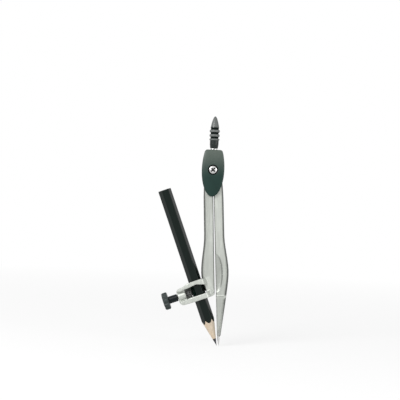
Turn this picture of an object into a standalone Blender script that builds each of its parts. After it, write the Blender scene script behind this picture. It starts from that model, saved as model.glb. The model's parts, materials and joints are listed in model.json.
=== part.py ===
"""Drawing compass with a cast pencil ring, upright, in metres, +Z up.

The front of the head faces -Y. The two legs hang from one pivot screw and
both lean a little towards +X, as they do on a compass that has been put away.
The origin is in the middle of the grip, where the fingers hold the compass.
Below, a drop is a distance down a leg from the pivot, and the ring's frame
has +X across the pencil towards the leg and +Z up along the pencil.
"""

import math

import bmesh
import bpy
from mathutils import Matrix

MM = 0.001

# ---- clearances -----------------------------------------------------------
SEAT_GAP = 0.2 * MM          # between faces that rest on each other
RUN_GAP = 0.2 * MM           # round a shank in its bore
GLUE_GAP = 0.1 * MM          # round a piece that is fixed in its bore
SHELL_GAP = 0.1 * MM         # from the middle plane to each half shell
CUT_PAST = 2.0 * MM          # how far a cutter runs past what it cuts

# ---- pivot stack ----------------------------------------------------------
GRIP_HOLD_RISE = 22.0 * MM   # from the pivot up to the middle of the grip
LEG_DEPTH = 4.6 * MM
LAP_RADIUS = 5.2 * MM        # the round ends of the legs, lapped on the pivot
WASHER_DEPTH = 0.4 * MM
WASHER_RADIUS = 4.6 * MM
SCREW_RADIUS = 1.5 * MM
SCREW_HEAD_RADIUS = 2.35 * MM
SCREW_HEAD_DEPTH = 1.0 * MM
SCREW_DOME = ((0.55, 0.96), (0.85, 0.8), (1.0, 0.5))   # shares of its radius and depth
CROSS_LENGTH = 2.9 * MM
CROSS_WIDTH = 0.65 * MM
CROSS_DEPTH = 0.75 * MM
NUT_ACROSS_FLATS = 5.0 * MM
NUT_DEPTH = 0.9 * MM
SCREW_PAST_NUT = 0.1 * MM

# ---- head shells ----------------------------------------------------------
HEAD_HALF_WIDTH = 6.75 * MM
HEAD_DROP = 16.0 * MM        # pivot to the lower end of the shells
HEAD_RISE = 12.0 * MM        # pivot to their flat top
HEAD_UPPER_ARC = 18.0 * MM   # height of the ellipse that the top cuts off
HEAD_TOP_FILLET = 1.7 * MM
SHELL_WALL = 2.0 * MM        # wall over the legs, in the middle
SHELL_RIM_WALL = 1.0 * MM    # wall over the legs, at the edge
SHELL_SHARES = (1.0, 0.985, 0.95, 0.88, 0.75, 0.5, 0.22, 0.02)   # of the outline, rim to middle
REAR_FLAT_SHARE = 0.72       # share of the rear shell that is flat
RECESS_RADIUS = 3.05 * MM    # round the screw's head
RECESS_FLOOR = 0.65 * MM     # wall left under the screw's head and the nut

# ---- grip -----------------------------------------------------------------
GRIP_START = 12.9 * MM       # rise of the grip's lower end above the pivot
GRIP_END = 32.2 * MM
GRIP_FOOT_RADIUS = 2.3 * MM
GRIP_BARREL_RADIUS = 2.65 * MM
GRIP_BARREL_START = 15.2 * MM
GRIP_BARREL_END = 17.6 * MM
GRIP_LAND_RADIUS = 3.05 * MM
GRIP_GROOVE_RADIUS = 2.4 * MM
GRIP_FIRST_GROOVE = 19.5 * MM
GRIP_GROOVE_PITCH = 2.65 * MM
GRIP_GROOVE_WIDTH = 1.15 * MM
GRIP_GROOVES = 3
GROOVE_FLOOR_SHARE = 0.75    # of the groove's width
GRIP_SHOULDER = 0.5 * MM     # height of the slope up to the lowest land
GRIP_NOSE_START = 25.5 * MM
GRIP_NOSE_RADIUS = 2.6 * MM
GRIP_TIP_RADIUS = 0.3 * MM
NOSE_BLUNTNESS = 0.58        # power of the nose's curve
STEM_RADIUS = 1.25 * MM
STEM_NECK_RADIUS = 1.6 * MM
STEM_COLLAR_RADIUS = 2.15 * MM
STEM_COLLAR_DEPTH = 0.6 * MM
STEM_FOOT_RADIUS = 2.3 * MM
STEM_FOOT_START = 7.6 * MM
STEM_FOOT_DEPTH = 1.3 * MM
STEM_IN_GRIP = 8.0 * MM

# ---- legs -----------------------------------------------------------------
LEG_SPLIT = 0.15 * MM        # from the middle plane to each leg's inner edge
WAIST_WIDTH = 5.9 * MM       # from the middle plane to the outer edge
WAIST_START = 18.0 * MM
WAIST_END = 39.0 * MM
HIP_WIDTH = 8.0 * MM
HIP_DROP = 61.0 * MM
HIP_ROUND = 5.6 * MM
FOOT_DROP = 100.0 * MM
FOOT_WIDTH = 2.2 * MM
FOOT_ROUND = 0.8 * MM        # height over which the foot draws in
FOOT_HALF_DEPTH = 1.3 * MM
FOOT_SHRINK = 0.72
THIN_START = 76.0 * MM       # where the leg begins to lose depth
OUTER_BEVEL = 1.3 * MM
OUTER_BEVEL_DEPTH = 0.9 * MM
BEVEL_SHARE = 0.4            # most of a leg's width that the outer bevel takes
INNER_BEVEL = 0.45 * MM
LEG_STEP = 3.3 * MM          # drop between two sections of a leg
SCOOP_DROP = 61.8 * MM
SCOOP_HALF_LENGTH = 11.8 * MM
SCOOP_REACH = 4.35 * MM
SCOOP_DEPTH = 1.2 * MM
SCOOP_INSET = 0.07 * MM      # its centre stands this far off the leg's faces
RIB_DROP = 75.5 * MM
RIB_RADIUS = 0.45 * MM
RIB_PROUD = 0.2 * MM
PANEL_DEPTH = 0.45 * MM
PANEL_EDGE = 1.2 * MM        # left standing along the outer edge
NEEDLE_LEAN = 3.86           # degrees towards +X
PENCIL_LEG_LEAN = 3.45

# ---- needle ---------------------------------------------------------------
NEEDLE_RADIUS = 0.72 * MM
NEEDLE_ACROSS = 1.05 * MM    # from the middle plane
NEEDLE_INSIDE = 9.0 * MM
NEEDLE_EXPOSED = 5.9 * MM     # below the foot
NEEDLE_POINT_LENGTH = 4.6 * MM
NEEDLE_WAIST = (0.62, 0.5)   # shares of its radius and of the point's length

# ---- pencil ---------------------------------------------------------------
PENCIL_ACROSS_FLATS = 6.9 * MM
PENCIL_ROLL = 6.5            # degrees about its axis
PENCIL_LENGTH = 98.9 * MM
PENCIL_TIP_ACROSS = 0.67 * MM   # from the pencil leg's middle plane, past it
PENCIL_TIP_LIFT = 0.15 * MM  # above the needle's point
POINT_HALF_ANGLE = 13.5      # degrees
LEAD_RADIUS = 1.05 * MM
LEAD_TIP_RADIUS = 0.25 * MM

# ---- ring, in its own frame -------------------------------------------------
RING_ACROSS = 10.0 * MM      # from the middle plane to the pencil's axis
RING_DROP = 72.2 * MM        # from the pivot to the clamp screw's axis
PENCIL_ROOM = 0.25 * MM      # round the pencil in the ring
RING_WALL = 1.55 * MM        # front bands and rear bridge
RING_TOP = 6.6 * MM
RING_BOTTOM = 5.5 * MM
RING_SHOULDER = 4.2 * MM     # height of the upper band's outer end
RING_CREST = 2.5 * MM        # out from the pencil's axis, where it reaches its full height
RING_BROW = 5.6 * MM         # in from the axis, where it bends down to the leg
RING_BROW_DROP = 2.7 * MM    # how far it comes down there
RING_BROW_FILLET = 1.5 * MM
RING_END_BULGE = 0.25 * MM   # how far the outer end's middle stands proud
RING_SHOULDER_FILLET = 1.4 * MM
RING_HEEL_FILLET = 2.3 * MM
ARCH_ROOT_FILLET = 1.6 * MM  # where the bands bend down to the leg
ARCH_END_FILLET = 5.0 * MM   # where they bend down to the end wall
ARCH_END_DRAW = 0.6 * MM     # how much the arch draws in past the end wall
ROOT_SINK = 0.5 * MM         # how deep the bands' roots lie in the leg
WINDOW_FILLET = 0.8 * MM
WINDOW_ROOT_FILLET = 0.5 * MM
BAND_ABOVE_WINDOW = 2.4 * MM
BAND_BELOW_WINDOW = 3.15 * MM
BAND_ROOT_EXTRA = 1.6 * MM   # how much lower the upper band comes at the leg
BAND_END_EXTRA = 1.2 * MM    # and at the outer end
ROOT_WINDOW_RISE = 1.3 * MM  # how much the lower band rises on the leg
BRIDGE_OVERLAP = 0.35 * MM
SEAT_WALL_AT = 4.5 * MM      # cavity wall on the leg's side
MOULD_STEP = 0.15 * MM       # each opening is this much wider than the one behind
END_WALL_IN = 9.3 * MM
END_WALL_OUT = 12.6 * MM
END_WALL_HALF_DEPTH = 2.2 * MM
ROOT_AT = 7.4 * MM           # where the ring sinks into the leg
BOSS_RADIUS = 2.8 * MM
BOSS_IN = 7.5 * MM
BOSS_BED = 1.2 * MM          # half the depth left beside the boss
PAD_RADIUS = 1.5 * MM        # the round pad on the lower band's root
PAD_ACROSS = 6.9 * MM
PAD_DROP = 3.1 * MM
PAD_PROUD = 0.5 * MM
PAD_SUNK = 1.5 * MM
LEG_PAST_RING = 0.15 * MM    # how far the leg runs on below the ring
LEG_CORNER_FILLET = 1.9 * MM

# ---- clamp screw and knob -------------------------------------------------
CLAMP_RADIUS = 1.5 * MM
CLAMP_TIP_RADIUS = 1.1 * MM
CLAMP_TIP_LENGTH = 1.2 * MM
CLAMP_IN_KNOB = 2.4 * MM
HUB_RADIUS = 2.2 * MM
KNOB_AT = 18.5 * MM          # from the pencil's axis to the knob
KNOB_RADIUS = 5.25 * MM
KNOB_DEPTH = 3.4 * MM
KNOB_FLUTES = 9
KNOB_FLUTE_DEPTH = 0.55 * MM
KNOB_EDGE = 0.5 * MM

# ---- motion ---------------------------------------------------------------
OPEN_ANGLE = 58.0            # degrees that each leg swings out

# ---- facets ---------------------------------------------------------------
ROUND_STEPS = 48
SMALL_STEPS = 32
ARC_POINTS = 5
OUTLINE_POINTS = 24
CROWN_STEPS = 8
NOSE_STEPS = 8
FLUTE_POINTS = 8

# ---- sizes that follow -----------------------------------------------------
HALF_LEG = LEG_DEPTH / 2
HALF_CAVITY = HALF_LEG + 2 * SEAT_GAP + WASHER_DEPTH
HEAD_HALF_DEPTH = HALF_CAVITY + SHELL_WALL
LAP_FACE = WASHER_DEPTH / 2 + SEAT_GAP
PENCIL_CORNER = PENCIL_ACROSS_FLATS / 2 / math.cos(math.pi / 6)
NEEDLE_POINT_DROP = FOOT_DROP + NEEDLE_EXPOSED
PASSAGE_HALF = PENCIL_CORNER * math.cos(math.radians(30 - PENCIL_ROLL)) + PENCIL_ROOM
RING_HALF_DEPTH = PASSAGE_HALF + RING_WALL
LEG_TAPER = (HIP_WIDTH - FOOT_WIDTH) / (math.hypot(FOOT_DROP - HIP_DROP, HIP_ROUND) - HIP_ROUND)
PENCIL_REACH_DOWN = NEEDLE_POINT_DROP - PENCIL_TIP_LIFT - RING_DROP
PENCIL_TILT = math.atan2(RING_ACROSS + PENCIL_TIP_ACROSS, PENCIL_REACH_DOWN)
PENCIL_BELOW_RING = math.hypot(RING_ACROSS + PENCIL_TIP_ACROSS, PENCIL_REACH_DOWN)
PENCIL_ABOVE_RING = PENCIL_LENGTH - PENCIL_BELOW_RING


# ---- scene helpers ----------------------------------------------------------
def clear_scene():
    """Empty the file of its objects."""
    for obj in list(bpy.data.objects):
        bpy.data.objects.remove(obj)


def new_collection(name):
    """A collection of its own under the scene."""
    made = bpy.data.collections.new(name)
    bpy.context.scene.collection.children.link(made)
    return made


def finish(name, colour, roughness, metallic=0.0):
    """A Principled material."""
    made = bpy.data.materials.new(name)
    made.use_nodes = True
    shader = made.node_tree.nodes["Principled BSDF"]
    shader.inputs["Base Color"].default_value = (*colour, 1.0)
    shader.inputs["Roughness"].default_value = roughness
    shader.inputs["Metallic"].default_value = metallic
    return made


def empty(name, parent=None, place=(0, 0, 0), lean=0.0):
    """An axis to hang pieces on, turned by lean degrees about +Y."""
    made = bpy.data.objects.new(name, None)
    PARTS.objects.link(made)
    made.parent = parent
    made.location = place
    made.rotation_euler = (0, math.radians(lean), 0)
    return made


def add_piece(name, mesh, parent, material=None):
    """A piece of the compass, or a cutter where it has no material."""
    made = bpy.data.objects.new(name, mesh)
    made.parent = parent
    if material is None:
        CUTTERS.objects.link(made)
        made.hide_render = True
        made.display_type = "WIRE"
        return made
    PARTS.objects.link(made)
    mesh.materials.append(material)
    return made


def cut(target, operation, *tools):
    """Add a Boolean modifier for each tool."""
    for tool in tools:
        step = target.modifiers.new(tool.name, "BOOLEAN")
        step.operation = operation
        step.object = tool


# ---- shape helpers ----------------------------------------------------------
def filleted(corners):
    """Outline from (u, v, fillet) corners; each fillet is an arc of points."""
    points = []
    count = len(corners)
    for index, (u, v, fillet) in enumerate(corners):
        if fillet <= 0:
            points.append((u, v))
            continue
        before, after = corners[index - 1], corners[(index + 1) % count]
        to_before = math.atan2(before[1] - v, before[0] - u)
        to_after = math.atan2(after[1] - v, after[0] - u)
        spread = (to_after - to_before + math.pi) % (2 * math.pi) - math.pi
        half = abs(spread) / 2
        middle = to_before + spread / 2
        centre_u = u + fillet / math.sin(half) * math.cos(middle)
        centre_v = v + fillet / math.sin(half) * math.sin(middle)
        turn = math.copysign(math.pi / 2 - half, spread)
        for step in range(ARC_POINTS + 1):
            share = 1 - 2 * step / ARC_POINTS
            angle = middle + math.pi + turn * share
            points.append((centre_u + fillet * math.cos(angle),
                           centre_v + fillet * math.sin(angle)))
    return points


def plate_mesh(name, outline, low, high, across="Z"):
    """Flat outline with a thickness from low to high along the axis across.

    The outline is (x, z) when across is Y, and (x, y) when across is Z.
    """
    curve = bpy.data.curves.new(name, "CURVE")
    curve.dimensions = "2D"
    curve.fill_mode = "BOTH"
    curve.extrude = (high - low) / 2
    spline = curve.splines.new("POLY")
    spline.points.add(len(outline) - 1)
    spline.use_cyclic_u = True
    for point, (u, v) in zip(spline.points, outline):
        point.co = (u, v, 0, 1)
    holder = bpy.data.objects.new(name, curve)
    CUTTERS.objects.link(holder)
    bpy.context.view_layer.update()
    graph = bpy.context.evaluated_depsgraph_get()
    mesh = bpy.data.meshes.new_from_object(holder.evaluated_get(graph))
    bpy.data.objects.remove(holder)
    bpy.data.curves.remove(curve)
    middle = (low + high) / 2
    if across == "Y":
        mesh.transform(Matrix(((1, 0, 0, 0), (0, 0, -1, middle), (0, 1, 0, 0), (0, 0, 0, 1))))
    else:
        mesh.transform(Matrix.Translation((0, 0, middle)))
    edit = bmesh.new()
    edit.from_mesh(mesh)
    bmesh.ops.remove_doubles(edit, verts=edit.verts, dist=0.001 * MM)
    bmesh.ops.recalc_face_normals(edit, faces=edit.faces)
    edit.to_mesh(mesh)
    edit.free()
    mesh.name = name
    return mesh


def plate(name, outline, low, high, parent, across="Z", material=None):
    """A piece, or a cutter, made by plate_mesh."""
    return add_piece(name, plate_mesh(name, outline, low, high, across), parent, material)


def turned(name, profile, parent, material=None, steps=SMALL_STEPS, along="Z"):
    """A turned piece from a profile of (radius, height), top to bottom.

    A profile that starts and ends on the axis is solid; any other is closed
    into a loop, which leaves a bore.
    """
    closed = min(radius for radius, _ in profile) > 0
    mesh = bpy.data.meshes.new(name)
    count = len(profile)
    edges = [(index, (index + 1) % count) for index in range(count if closed else count - 1)]
    mesh.from_pydata([(radius, 0, height) for radius, height in profile], edges, [])
    made = add_piece(name, mesh, parent, material)
    screw = made.modifiers.new("turn", "SCREW")
    screw.axis = "Z"
    screw.steps = steps
    screw.render_steps = steps
    screw.use_merge_vertices = True
    screw.merge_threshold = 0.001 * MM
    screw.use_smooth_shade = False
    if along == "-Y":
        made.rotation_euler = (math.radians(90), 0, 0)
    if along == "-X":
        made.rotation_euler = (0, math.radians(-90), 0)
    return made


def loft_mesh(name, rings):
    """Skin a list of rings of equal count, with flat caps on both ends."""
    edit = bmesh.new()
    rows = [[edit.verts.new(point) for point in ring] for ring in rings]
    for row, following in zip(rows, rows[1:]):
        count = len(row)
        for index in range(count):
            after = (index + 1) % count
            edit.faces.new((row[index], row[after], following[after], following[index]))
    edit.faces.new(rows[0])
    edit.faces.new(list(reversed(rows[-1])))
    bmesh.ops.recalc_face_normals(edit, faces=edit.faces)
    mesh = bpy.data.meshes.new(name)
    edit.to_mesh(mesh)
    edit.free()
    return mesh


def smooth_step(low, high, value):
    """Ease from 0 at low to 1 at high."""
    share = min(max((value - low) / (high - low), 0.0), 1.0)
    return share * share * (3 - 2 * share)


def shade_smooth(obj, degrees=30):
    """Smooth shading with sharp edges kept."""
    obj.data.shade_smooth()
    obj.data.set_sharp_from_angle(angle=math.radians(degrees))


# ---- head -------------------------------------------------------------------
def shell_outline():
    """Half ellipse below the pivot, and above it an ellipse with a flat top."""
    points = []
    for step in range(OUTLINE_POINTS + 1):
        angle = math.pi * step / OUTLINE_POINTS
        points.append((HEAD_HALF_WIDTH * math.cos(angle), -HEAD_DROP * math.sin(angle), 0))
    top_angle = math.asin(HEAD_RISE / HEAD_UPPER_ARC)
    half_top = HEAD_HALF_WIDTH * math.cos(top_angle)
    rising = []
    steps = OUTLINE_POINTS // 3
    for step in range(1, steps):
        angle = top_angle * step / steps
        rising.append((HEAD_HALF_WIDTH * math.cos(angle), HEAD_UPPER_ARC * math.sin(angle)))
    points += [(-x, z, 0) for x, z in rising]
    points += [(-half_top, HEAD_RISE, HEAD_TOP_FILLET), (half_top, HEAD_RISE, HEAD_TOP_FILLET)]
    points += [(x, z, 0) for x, z in reversed(rising)]
    return filleted(points)


def roof_outline():
    """The room for the legs: all below two stops tangent to the lapped discs."""
    stop_angle = math.radians(OPEN_ANGLE + max(NEEDLE_LEAN, PENCIL_LEG_LEAN))
    stop_radius = LAP_RADIUS + 2 * SEAT_GAP
    apex = stop_radius / math.sin(stop_angle)
    side = HEAD_HALF_WIDTH + CUT_PAST
    eaves = apex - side / math.tan(stop_angle)
    floor = -HEAD_DROP - CUT_PAST
    return [(-side, floor), (side, floor), (side, eaves), (0, apex), (-side, eaves)]


def stem_profile(grown=0.0):
    """Foot and neck of the stem, held between the shells; grown for the pocket."""
    foot_top = STEM_FOOT_START + STEM_FOOT_DEPTH
    return [(STEM_NECK_RADIUS + grown, GRIP_START + grown),
            (STEM_NECK_RADIUS + grown, foot_top + grown),
            (STEM_FOOT_RADIUS + grown, foot_top + grown),
            (STEM_FOOT_RADIUS + grown, STEM_FOOT_START - grown),
            (0, STEM_FOOT_START - grown)]


def shell(name, side, flat_share, material):
    """One domed half of the head; side is -1 for the front, 1 for the rear."""
    outline = shell_outline()
    rim = HALF_CAVITY + SHELL_RIM_WALL
    rings = [[(x, side * SHELL_GAP, z) for x, z in outline]]
    for share in SHELL_SHARES:
        slope = max(0.0, (share - flat_share) / (1 - flat_share))
        depth = rim + (SHELL_WALL - SHELL_RIM_WALL) * math.sqrt(1 - slope * slope)
        rings.append([(x * share, side * depth, z * share) for x, z in outline])
    made = add_piece(name, loft_mesh(name, rings), PIVOT, material)
    inner, outer = sorted((side * HALF_CAVITY, -side * CUT_PAST))
    room = plate(name + "_room", roof_outline(), inner, outer, PIVOT, across="Y")
    stem_room = turned(name + "_stem_room",
                       [(0, GRIP_START + CUT_PAST), (STEM_NECK_RADIUS + SEAT_GAP, GRIP_START + CUT_PAST)]
                       + stem_profile(SEAT_GAP)[1:], PIVOT)
    bore = turned(name + "_bore", cylinder_profile(SCREW_RADIUS + RUN_GAP, 0, -side * (HEAD_HALF_DEPTH + CUT_PAST)),
                  PIVOT, along="-Y")
    cut(made, "DIFFERENCE", room, stem_room, bore)
    return made


def cylinder_profile(radius, start, end):
    """Profile of a plain cylinder between two heights."""
    low, high = sorted((start, end))
    return [(0, high), (radius, high), (radius, low), (0, low)]


def ring_profile(bore, radius, low, high):
    """Profile of a washer."""
    return [(radius, high), (radius, low), (bore, low), (bore, high)]


def head(plastic):
    """Both shells, with the recess for the screw's head and the nut's pocket."""
    front = shell("front_cover", -1, 0.0, plastic)
    seat = HALF_CAVITY + RECESS_FLOOR
    recess = turned("screw_recess", cylinder_profile(RECESS_RADIUS, seat, HEAD_HALF_DEPTH + CUT_PAST),
                    PIVOT, along="-Y")
    cut(front, "DIFFERENCE", recess)
    rear = shell("rear_cover", 1, REAR_FLAT_SHARE, plastic)
    pocket_radius = NUT_ACROSS_FLATS / 2 / math.cos(math.pi / 6) + SEAT_GAP
    pocket = hex_piece("nut_pocket", pocket_radius, seat, HEAD_HALF_DEPTH + CUT_PAST)
    cut(rear, "DIFFERENCE", pocket)
    return front, rear


def hex_piece(name, corner_radius, start, end, material=None):
    """A hexagonal prism about the pivot's axis, from start to end along +Y."""
    outline = [(corner_radius * math.cos(math.pi * side / 3), corner_radius * math.sin(math.pi * side / 3))
               for side in range(6)]
    return plate(name, outline, start, end, PIVOT, across="Y", material=material)


def grip_profile():
    """Outer line of the grip from the nose's tip down, with the stem's bore."""
    points = []
    nose_length = GRIP_END - GRIP_NOSE_START
    for step in range(NOSE_STEPS + 1):
        share = step / NOSE_STEPS
        radius = GRIP_TIP_RADIUS + (GRIP_NOSE_RADIUS - GRIP_TIP_RADIUS) * share ** NOSE_BLUNTNESS
        points.append((radius, GRIP_END - nose_length * share))
    for groove in reversed(range(GRIP_GROOVES)):
        middle = GRIP_FIRST_GROOVE + groove * GRIP_GROOVE_PITCH
        edge = GRIP_GROOVE_WIDTH / 2
        floor = edge * GROOVE_FLOOR_SHARE
        points += [(GRIP_GROOVE_RADIUS, middle + floor), (GRIP_GROOVE_RADIUS, middle - floor),
                   (GRIP_LAND_RADIUS, middle - edge)]
        if groove:
            points.append((GRIP_LAND_RADIUS, middle - GRIP_GROOVE_PITCH + edge))
    points += [(GRIP_LAND_RADIUS, GRIP_BARREL_END + GRIP_SHOULDER), (GRIP_BARREL_RADIUS, GRIP_BARREL_END),
               (GRIP_BARREL_RADIUS, GRIP_BARREL_START), (GRIP_FOOT_RADIUS, GRIP_START)]
    bore = STEM_RADIUS + GLUE_GAP
    points += [(bore, GRIP_START), (bore, GRIP_START + STEM_IN_GRIP + SEAT_GAP),
               (0, GRIP_START + STEM_IN_GRIP + SEAT_GAP)]
    return [(0, GRIP_END)] + points


def handle(plastic, steel):
    """The grip and its stem."""
    grip = turned("grip", grip_profile(), PIVOT, plastic, steps=ROUND_STEPS)
    collar_top = GRIP_START - SEAT_GAP
    collar_low = collar_top - STEM_COLLAR_DEPTH
    profile = [(0, GRIP_START + STEM_IN_GRIP), (STEM_RADIUS, GRIP_START + STEM_IN_GRIP),
               (STEM_RADIUS, collar_top), (STEM_COLLAR_RADIUS, collar_top),
               (STEM_COLLAR_RADIUS, collar_low), (STEM_NECK_RADIUS, collar_low)]
    stem = turned("grip_stem", profile + stem_profile()[1:], PIVOT, steel)
    return grip, stem


def pivot_hardware(steel, nylon):
    """Screw, nut and the three washers of the pivot stack."""
    seat = HALF_CAVITY + RECESS_FLOOR + SEAT_GAP
    dome = SCREW_HEAD_DEPTH
    head_profile = [(0, seat + dome)]
    head_profile += [(SCREW_HEAD_RADIUS * across, seat + dome * up) for across, up in SCREW_DOME]
    head_profile.append((SCREW_HEAD_RADIUS, seat))
    shank_end = -(seat + NUT_DEPTH + SCREW_PAST_NUT)
    screw = turned("pivot_screw", head_profile + [(SCREW_RADIUS, seat), (SCREW_RADIUS, shank_end), (0, shank_end)],
                   PIVOT, steel, along="-Y")
    for index, turn in enumerate((45, 135)):
        half_length, half_width = CROSS_LENGTH / 2, CROSS_WIDTH / 2
        slot = [(half_length, half_width), (-half_length, half_width),
                (-half_length, -half_width), (half_length, -half_width)]
        top = -(seat + dome)
        blade = plate("cross_slot_%d" % index, slot, top - CUT_PAST, top + CROSS_DEPTH, PIVOT, across="Y")
        blade.rotation_euler = (0, math.radians(turn), 0)
        cut(screw, "DIFFERENCE", blade)
    nut = hex_piece("pivot_nut", NUT_ACROSS_FLATS / 2 / math.cos(math.pi / 6), seat, seat + NUT_DEPTH, steel)
    nut_bore = turned("nut_bore", cylinder_profile(SCREW_RADIUS + RUN_GAP, 0, -HEAD_HALF_DEPTH - CUT_PAST),
                      PIVOT, along="-Y")
    cut(nut, "DIFFERENCE", nut_bore)
    bore = SCREW_RADIUS + RUN_GAP
    outer_face = HALF_LEG + SEAT_GAP
    made = [screw, nut]
    for name, low in (("front_washer", outer_face), ("middle_washer", -WASHER_DEPTH / 2),
                      ("rear_washer", -outer_face - WASHER_DEPTH)):
        made.append(turned(name, ring_profile(bore, WASHER_RADIUS, low, low + WASHER_DEPTH), PIVOT, nylon,
                           along="-Y"))
    return made


# ---- legs -------------------------------------------------------------------
def leg_width(drop):
    """Outer edge from the middle plane: lap, waist, hip, then a long taper."""
    width = LAP_RADIUS + (WAIST_WIDTH - LAP_RADIUS) * smooth_step(0, WAIST_START, drop)
    width += (HIP_WIDTH - WAIST_WIDTH) * smooth_step(WAIST_END, HIP_DROP, drop)
    below = max(0.0, drop - HIP_DROP)
    return width - LEG_TAPER * (math.hypot(below, HIP_ROUND) - HIP_ROUND)


def leg_half_depth(drop):
    """Full depth down to the rib, then a straight taper to the foot."""
    share = max(0.0, (drop - THIN_START) / (FOOT_DROP - THIN_START))
    return HALF_LEG + (FOOT_HALF_DEPTH - HALF_LEG) * share


def leg_section(side, drop, shrink=1.0):
    """Eight points round a leg: a wide bevel outside in front, small ones else."""
    depth = leg_half_depth(drop)
    inner, outer = LEG_SPLIT, leg_width(drop)
    wide = min(OUTER_BEVEL, (outer - inner) * BEVEL_SHARE)
    deep = OUTER_BEVEL_DEPTH * depth / HALF_LEG
    small = INNER_BEVEL * depth / HALF_LEG
    points = [(inner + small, -depth), (outer - wide, -depth), (outer, -depth + deep),
              (outer, depth - small), (outer - small, depth), (inner + small, depth),
              (inner, depth - small), (inner, -depth + small)]
    middle = (inner + outer) / 2
    return [(side * (middle + (x - middle) * shrink), y * shrink, -drop) for x, y in points]


def blade(name, side, end_drop, parent, material):
    """A leg's blade from the pivot's height down to end_drop."""
    count = int(round(end_drop / LEG_STEP))
    drops = [end_drop * index / count for index in range(count)]
    rings = [leg_section(side, drop) for drop in drops]
    if end_drop >= FOOT_DROP:
        rings.append(leg_section(side, end_drop - FOOT_ROUND))
        rings.append(leg_section(side, end_drop, FOOT_SHRINK))
    else:
        rings.append(leg_section(side, end_drop))
    return add_piece(name, loft_mesh(name, rings), parent, material)


def lapped_end(leg, parent, front):
    """Give a leg its half-depth disc and cut it clear of the other leg's."""
    direction = 1 if front else -1
    disc = turned(leg.name + "_disc", cylinder_profile(LAP_RADIUS, direction * LAP_FACE, direction * HALF_LEG),
                  parent, along="-Y", steps=ROUND_STEPS)
    room = turned(leg.name + "_lap_room",
                  cylinder_profile(LAP_RADIUS + SEAT_GAP, direction * LAP_FACE, -direction * (HALF_LEG + CUT_PAST)),
                  parent, along="-Y", steps=ROUND_STEPS)
    bore = turned(leg.name + "_bore", cylinder_profile(SCREW_RADIUS + RUN_GAP, -LEG_DEPTH, LEG_DEPTH),
                  parent, along="-Y")
    cut(leg, "UNION", disc)
    cut(leg, "DIFFERENCE", room, bore)


def scoop(leg):
    """The finger scoop in the inner half of the needle leg's front face."""
    mesh = bpy.data.meshes.new(leg.name + "_scoop")
    edit = bmesh.new()
    bmesh.ops.create_uvsphere(edit, u_segments=ROUND_STEPS, v_segments=ROUND_STEPS // 2, radius=1.0)
    edit.to_mesh(mesh)
    edit.free()
    mesh.transform(Matrix.Rotation(math.pi / ROUND_STEPS, 4, "Z"))
    mesh.transform(Matrix.Diagonal((SCOOP_REACH, SCOOP_DEPTH, SCOOP_HALF_LENGTH, 1)))
    mesh.transform(Matrix.Translation((SCOOP_INSET, -HALF_LEG - SCOOP_INSET, -SCOOP_DROP)))
    cut(leg, "DIFFERENCE", add_piece(mesh.name, mesh, NEEDLE_AXIS))


def needle_leg(metal, steel):
    """The right leg with its rib, its sunk panel and the needle in its foot."""
    leg = blade("needle_leg", 1, FOOT_DROP, NEEDLE_AXIS, metal)
    lapped_end(leg, NEEDLE_AXIS, True)
    scoop(leg)
    rings = []
    for drop in (RIB_DROP + RIB_RADIUS / 2, FOOT_DROP - 2 * PANEL_EDGE, FOOT_DROP + CUT_PAST):
        depth = leg_half_depth(drop)
        inner = -CUT_PAST
        outer = max(leg_width(drop) - PANEL_EDGE, LEG_SPLIT + INNER_BEVEL)
        sunk = -depth + PANEL_DEPTH
        rings.append([(inner, -depth - CUT_PAST, -drop), (outer, -depth - CUT_PAST, -drop),
                      (outer, sunk, -drop), (inner, sunk, -drop)])
    panel = add_piece("panel_cut", loft_mesh("panel_cut", rings), NEEDLE_AXIS)
    cut(leg, "DIFFERENCE", panel)
    rib_end = leg_width(RIB_DROP) - OUTER_BEVEL
    rib = turned("rib", cylinder_profile(RIB_RADIUS, -LEG_SPLIT - INNER_BEVEL, -rib_end), NEEDLE_AXIS,
                 along="-X")
    rib.location = (0, -HALF_LEG + RIB_RADIUS - RIB_PROUD, -RIB_DROP)
    cut(leg, "UNION", rib)
    hole = turned("needle_hole", cylinder_profile(NEEDLE_RADIUS + GLUE_GAP, -FOOT_DROP - CUT_PAST,
                                                  -FOOT_DROP + NEEDLE_INSIDE), NEEDLE_AXIS)
    hole.location = (NEEDLE_ACROSS, 0, 0)
    cut(leg, "DIFFERENCE", hole)
    top = -FOOT_DROP + NEEDLE_INSIDE - SEAT_GAP
    point = -NEEDLE_POINT_DROP
    profile = [(0, top), (NEEDLE_RADIUS, top), (NEEDLE_RADIUS, point + NEEDLE_POINT_LENGTH),
               (NEEDLE_RADIUS * NEEDLE_WAIST[0], point + NEEDLE_POINT_LENGTH * NEEDLE_WAIST[1]), (0, point)]
    needle = turned("needle", profile, NEEDLE_AXIS, steel)
    needle.location = (NEEDLE_ACROSS, 0, 0)
    return leg, needle


def ring_front_outline():
    """The ring seen from the front: crowned top, rounded outer end."""
    left, right = -END_WALL_OUT, ROOT_AT
    crown = []
    for step in range(CROWN_STEPS, 1, -1):
        x = left + (-RING_CREST - left) * step / CROWN_STEPS
        crown.append((x, RING_SHOULDER + (RING_TOP - RING_SHOULDER) * smooth_step(left, -RING_CREST, x), 0))
    corners = [(right, -RING_BOTTOM, 0), (right, RING_TOP - RING_BROW_DROP, 0),
               (RING_BROW, RING_TOP, RING_BROW_FILLET)]
    corners += crown + [(left, RING_SHOULDER, RING_SHOULDER_FILLET), (left - RING_END_BULGE, 0, 0),
                        (left, -RING_BOTTOM, RING_HEEL_FILLET)]
    return filleted(corners)


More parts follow.
